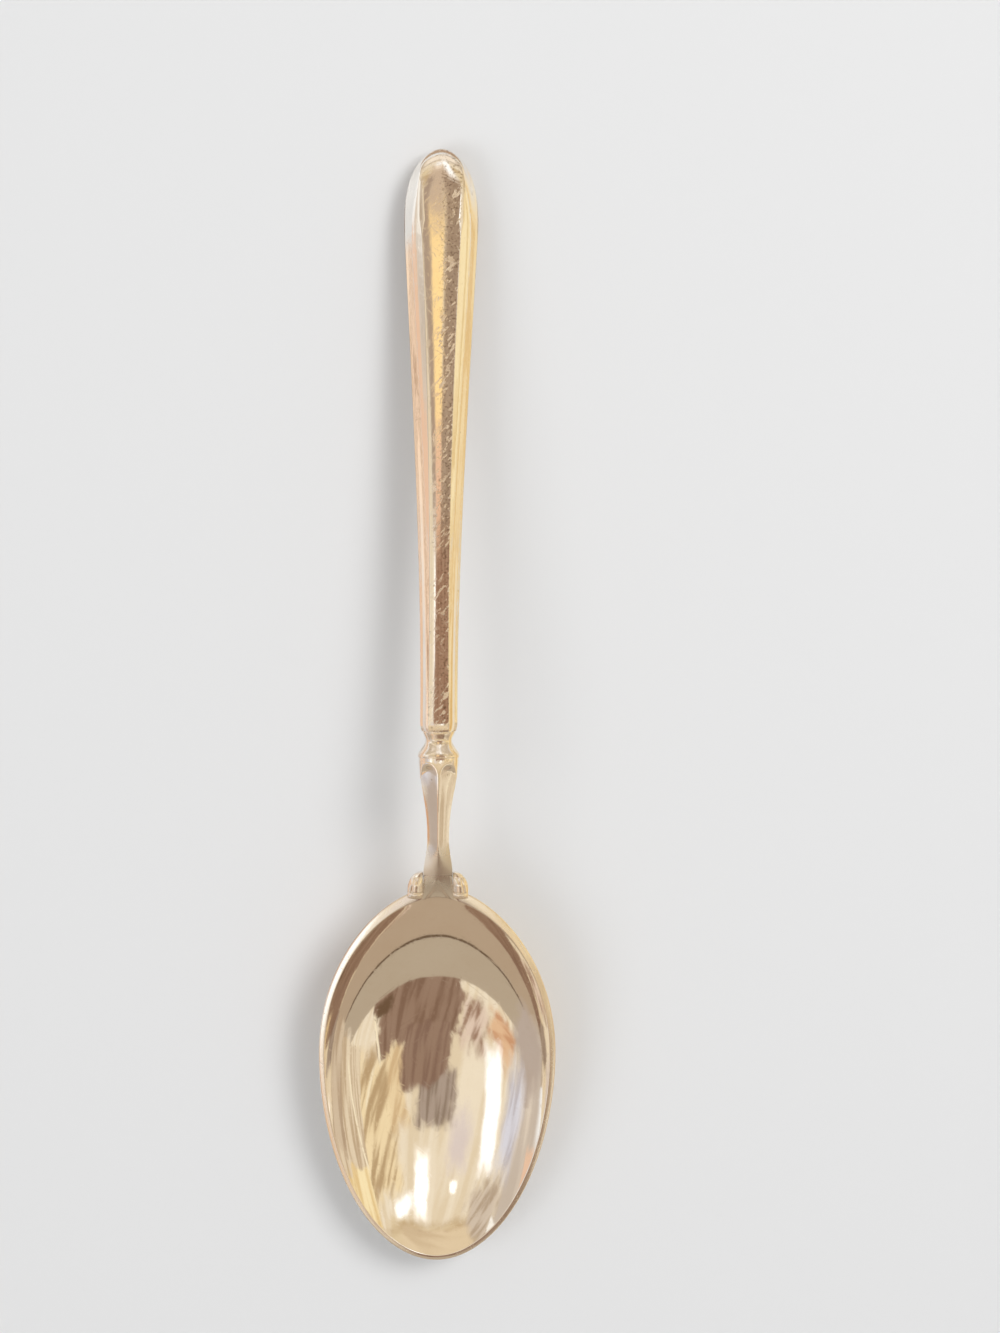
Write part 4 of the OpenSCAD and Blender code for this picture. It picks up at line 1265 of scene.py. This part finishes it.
class TEASPOON_OT_stage(Operator):
    """Adds the pale floor, the soft lamps, the reflector cards and the camera"""

    bl_idname = "teaspoon.stage"
    bl_label = "Stage"

    def bowl_cards(self, centre):
        """The warm room that the bowl mirrors, from the farthest card to the nearest."""
        sky = partial(sky_card, centre)
        tan, brown = (182, 160, 136), (154, 127, 108)
        sky("roof", 0, 0, 80, 74, 1.2, (244, 230, 206), soft=0.1, streaks=((232, 214, 184), 20, 60))
        sky("back_low", 0, 76, 60, 16, 1.1, (198, 180, 158), soft=0.1)
        sky("back_gold", 6, 36, 50, 16, 1.08, (228, 208, 172), soft=0.4, ragged=1.0,
            streaks=((200, 174, 136), 80, 16))
        sky("front_beige", 0, -64.2, 68, 10.8, 0.7, (184, 167, 145), soft=0.04, ragged=0.2)
        sky("front_tan", 0, -84, 72, 9.5, 0.69, tan, soft=0.02)
        sky("front_edge", 0, -74, 64, 0.9, 0.68, (98, 78, 60), soft=0.5)
        flat_card("front_floor", (-0.8, -0.9), (0.8, -0.074), 0.0003, tan, soft=0.05)
        sky("right_gold", 46, -8, 24, 22, 0.92, (246, 224, 182), soft=0.4, ragged=1.0,
            streaks=((190, 162, 124), 55, 13))
        sky("near_gold", 24, -20, 8, 12, 0.91, (240, 216, 174), soft=0.5, ragged=1.0,
            streaks=((214, 184, 142), 45, 8))
        sky("right_cream", 72, -8, 13, 26, 0.9, (230, 214, 190), soft=0.3, ragged=1.0,
            streaks=((192, 168, 140), 10, 9))
        sky("right_slat", 37, -34, 0.9, 10, 0.84, (252, 238, 208), soft=0.4, lean=4)
        sky("right_rail", 45, -21, 8, 0.9, 0.84, (250, 234, 202), soft=0.4, lean=27)
        sky("right_line", 61, -14, 0.9, 17, 0.36, (252, 238, 208), soft=0.4, lean=6)
        sky("left_far", -73, -4, 15, 36, 0.94, (204, 190, 176), soft=0.4, ragged=0.8,
            streaks=((228, 214, 198), 0, 8))
        sky("left_low", -66, -36, 15, 14, 0.93, (188, 172, 160), soft=0.5, ragged=0.8)
        sky("left_taupe", -42, 20, 20, 16, 0.92, (214, 198, 180), soft=0.6, ragged=1.2,
            streaks=((184, 164, 142), 60, 14))
        sky("left_grey", -56, -12, 12, 18, 0.9, (224, 224, 236), soft=0.7, ragged=1.0,
            streaks=((196, 190, 196), 10, 7))
        sky("centre_mauve", -15, -6, 11, 12, 0.89, (226, 212, 206), soft=0.8, ragged=1.0)
        sky("left_orange", -41, -35, 12, 8, 0.88, (232, 192, 154), soft=0.5, lean=-14, ragged=1.2,
            streaks=((206, 156, 120), 70, 7))
        sky("left_peach", -21, -37, 10, 11, 0.865, (230, 208, 190), soft=0.6, ragged=1.4,
            streaks=((158, 126, 106), 25, 8))
        sky("brown_flag", 12, -43, 25, 13, 0.86, brown, soft=0.14, ragged=1.2,
            streaks=((132, 104, 86), 20, 12))
        sky("brown_foot", 7, -28, 15, 9, 0.85, brown, soft=0.2, ragged=1.0,
            streaks=((136, 108, 92), 20, 11))
        sky("taupe_flag", 1, -17, 14, 8, 0.86, (176, 158, 144), soft=0.4, ragged=1.2,
            streaks=((146, 128, 112), 15, 12))
        sky("brown_nook", 32, -44, 7, 4, 0.84, (112, 88, 68), soft=0.5, ragged=1.2)
        sky("right_window", 12, 9, 7, 15, 0.75, WHITE, soft=0.7, lean=-10, ragged=0.8, glow=1.8)
        sky("right_pane", 29, 16, 14, 5, 0.74, WHITE, soft=0.8, lean=20, ragged=1.0, glow=1.5)
        sky("left_window", -37, -13, 8, 18, 0.75, WHITE, soft=0.5, lean=9, ragged=0.8, glow=1.4)
        sky("small_window", -13, 8, 4, 3, 0.74, WHITE, soft=0.9, glow=2.0)
        card("back_fold", Vector((0, -0.012, 0.0705)), RIGHT, UP, (0.14, 0.085), (230, 208, 174),
             soft=0.25, streaks=((212, 188, 154), 80, 6))

    def handle_cards(self):
        """The near cards that the handle's panel and bevels mirror."""
        flat_card("panel_brown", (0.005, 0.0), (0.065, 0.115), 0.12, (174, 150, 128), soft=0.08,
                  streaks=((158, 134, 112), 10, 14))
        flat_card("panel_low", (-0.03, -0.006), (0.065, 0.036), 0.119, (166, 132, 108), soft=0.15,
                  ragged=0.8, streaks=((140, 104, 82), 0, 10))
        flat_card("panel_gold", (-0.021, 0.05), (0.0065, 0.086), 0.121, (255, 220, 156), soft=0.12,
                  glow=1.12)
        flat_card("panel_peach", (-0.021, 0.03), (0.0065, 0.054), 0.1215, (238, 194, 162), soft=0.12)
        flat_card("panel_top", (-0.021, 0.08), (0.0065, 0.112), 0.1195, (206, 182, 158), soft=0.3,
                  ragged=1.2)
        flat_card("panel_taupe", (-0.038, 0.032), (-0.02, 0.12), 0.12, (172, 150, 132), soft=0.15)
        sky = partial(sky_card, Vector((0, 0.066, 0.004)))
        sky("end_flash", 12, 42, 8, 26, 0.3, WHITE, soft=0.7, lean=18, ragged=0.4, glow=1.2)
        sky("end_blob", -6, 50, 9, 8, 0.3, WHITE, soft=0.8, ragged=0.8)
        sky("end_cream", 0, 74, 40, 13, 0.33, (250, 236, 218), soft=0.4, ragged=0.8)
        sky("end_peach", -6, 48, 9, 16, 0.31, (252, 232, 208), soft=0.7, ragged=1.0)
        sky("end_taupe", 0, 30, 20, 18, 0.32, (206, 182, 158), soft=0.4, ragged=1.0)
        wall_card("left_wall", (-0.35, -0.01, 0.045), (0.17, 0.09), (238, 200, 172), soft=0.2)
        wall_card("left_strip", (-0.34, 0.13, 0.17), (0.13, 0.17), (255, 250, 242), soft=0.2)
        wall_card("right_wall", (0.4, 0.05, 0.14), (0.5, 0.28), (255, 236, 190), soft=0.1,
                  streaks=((232, 202, 148), 90, 12))
        wall_card("right_near", (0.39, -0.16, 0.14), (0.24, 0.28), (232, 214, 186), soft=0.1, ragged=0.8,
                  streaks=((196, 172, 142), 80, 12))
        wall_card("right_rear", (0.39, 0.22, 0.14), (0.2, 0.28), (226, 206, 172), soft=0.1, ragged=0.8,
                  streaks=((186, 160, 122), 80, 10))
        wall_card("right_base", (0.385, -0.2, 0.05), (0.26, 0.1), (214, 194, 168), soft=0.2, ragged=0.8,
                  streaks=((184, 160, 134), 85, 8))
        flat_card("left_bounce", (-0.35, -0.04), (-0.004, 0.06), 0.0004, (252, 226, 200), soft=0.1,
                  glow=1.08, streaks=((170, 130, 104), 0, 34))
        flat_card("right_bounce", (0.004, -0.09), (0.4, 0.1), 0.0004, (248, 226, 180), soft=0.1,
                  streaks=((222, 180, 116), 0, 26))
        flat_card("end_bounce", (-0.35, 0.06), (-0.004, 0.3), 0.0004, WHITE, soft=0.15, glow=1.05)
        flat_card("end_edge", (-0.014, 0.0712), (0.014, 0.082), 0.0005, (186, 160, 136), soft=0.3)
        flat_card("left_edge", (-0.0125, 0.0), (-0.003, 0.067), 0.0005, (140, 118, 104), soft=0.2)
        flat_card("right_edge", (0.003, 0.0), (0.0125, 0.067), 0.0005, (170, 136, 92), soft=0.2)

    def execute(self, context):
        scene = context.scene
        settings = scene.teaspoon_stage
        floor = plane("floor", (FLOOR_SIDE, FLOOR_SIDE))
        material, n, shader, _ = new_material("floor")
        n.fill(shader, {"Base Color": shade(settings.floor), "Roughness": 0.8, "Specular IOR Level": 0.0})
        floor.data.materials.append(material)

        world = bpy.data.worlds.new("studio")
        scene.world = world
        world.use_nodes = True
        n = Nodes(world.node_tree)
        path = n.add("ShaderNodeLightPath", {}).outputs
        shown = n.math("MAXIMUM", path["Is Camera Ray"], path["Is Glossy Ray"])
        shown = n.math("MAXIMUM", shown, path["Is Transmission Ray"])
        n.fill(world.node_tree.nodes["Background"],
               {"Color": (1, 1, 1, 1), "Strength": n.math("MAXIMUM", shown, 0.5)})

        area_lamp("key_lamp", (0.45, 0.4, 0.75), 0.4, 4.2)
        area_lamp("fill_lamp", (-0.6, -0.1, 0.7), 0.5, 1.6)
        self.bowl_cards(Vector((0, -0.045, 0.008)))
        self.handle_cards()

        data = bpy.data.cameras.new("camera")
        data.sensor_fit = "AUTO"
        data.sensor_width = 36
        data.lens = settings.lens
        camera = add_object("camera", data)
        distance, nudge, tilt, roll = 0.45, 0.00026, math.radians(13), math.radians(0.5)
        aim = Vector((0.0075, 0.0075, 0.007))
        place = Vector((0, distance * math.sin(tilt) + nudge, aim.z + distance * math.cos(tilt)))
        way = (aim - place).normalized()
        right = way.cross(ALONG).normalized()
        turn = Matrix((right, right.cross(way), -way)).transposed().to_4x4()
        camera.matrix_world = Matrix.Translation(place) @ turn @ Matrix.Rotation(roll, 4, "Z")
        scene.camera = camera
        scene.view_settings.view_transform = "Standard"
        return {"FINISHED"}


class TEASPOON_PT_panel(Panel):
    """Lists the teaspoon's pieces and sizes in the sidebar"""

    bl_idname = "TEASPOON_PT_panel"
    bl_label = "Teaspoon"
    bl_space_type = "VIEW_3D"
    bl_region_type = "UI"
    bl_category = "Teaspoon"

    def draw(self, context):
        column = self.layout.column()
        for operator in OPERATORS:
            column.operator(operator.bl_idname)
        for group in GROUPS:
            settings = getattr(context.scene, GROUPS[group])
            column.label(text=group.__doc__)
            for key in group.__annotations__:
                column.prop(settings, key)


GROUPS = {TeaspoonBowlSizes: "teaspoon_bowl", TeaspoonStemSizes: "teaspoon_stem",
          TeaspoonHandleSizes: "teaspoon_handle", TeaspoonFinish: "teaspoon_finish",
          TeaspoonStage: "teaspoon_stage"}
OPERATORS = (TEASPOON_OT_bowl, TEASPOON_OT_stem, TEASPOON_OT_scrolls, TEASPOON_OT_collar,
             TEASPOON_OT_handle, TEASPOON_OT_core, TEASPOON_OT_stage)


def register():
    for group, name in GROUPS.items():
        bpy.utils.register_class(group)
        setattr(bpy.types.Scene, name, PointerProperty(type=group))
    for cls in (*OPERATORS, TEASPOON_PT_panel):
        bpy.utils.register_class(cls)


def unregister():
    for cls in reversed((*OPERATORS, TEASPOON_PT_panel)):
        bpy.utils.unregister_class(cls)
    for group, name in reversed(GROUPS.items()):
        delattr(bpy.types.Scene, name)
        bpy.utils.unregister_class(group)


def main():
    """Adds every piece in turn."""
    register()
    for operator in OPERATORS:
        package, name = operator.bl_idname.split(".")
        getattr(getattr(bpy.ops, package), name)()


if __name__ == "__main__":
    main()
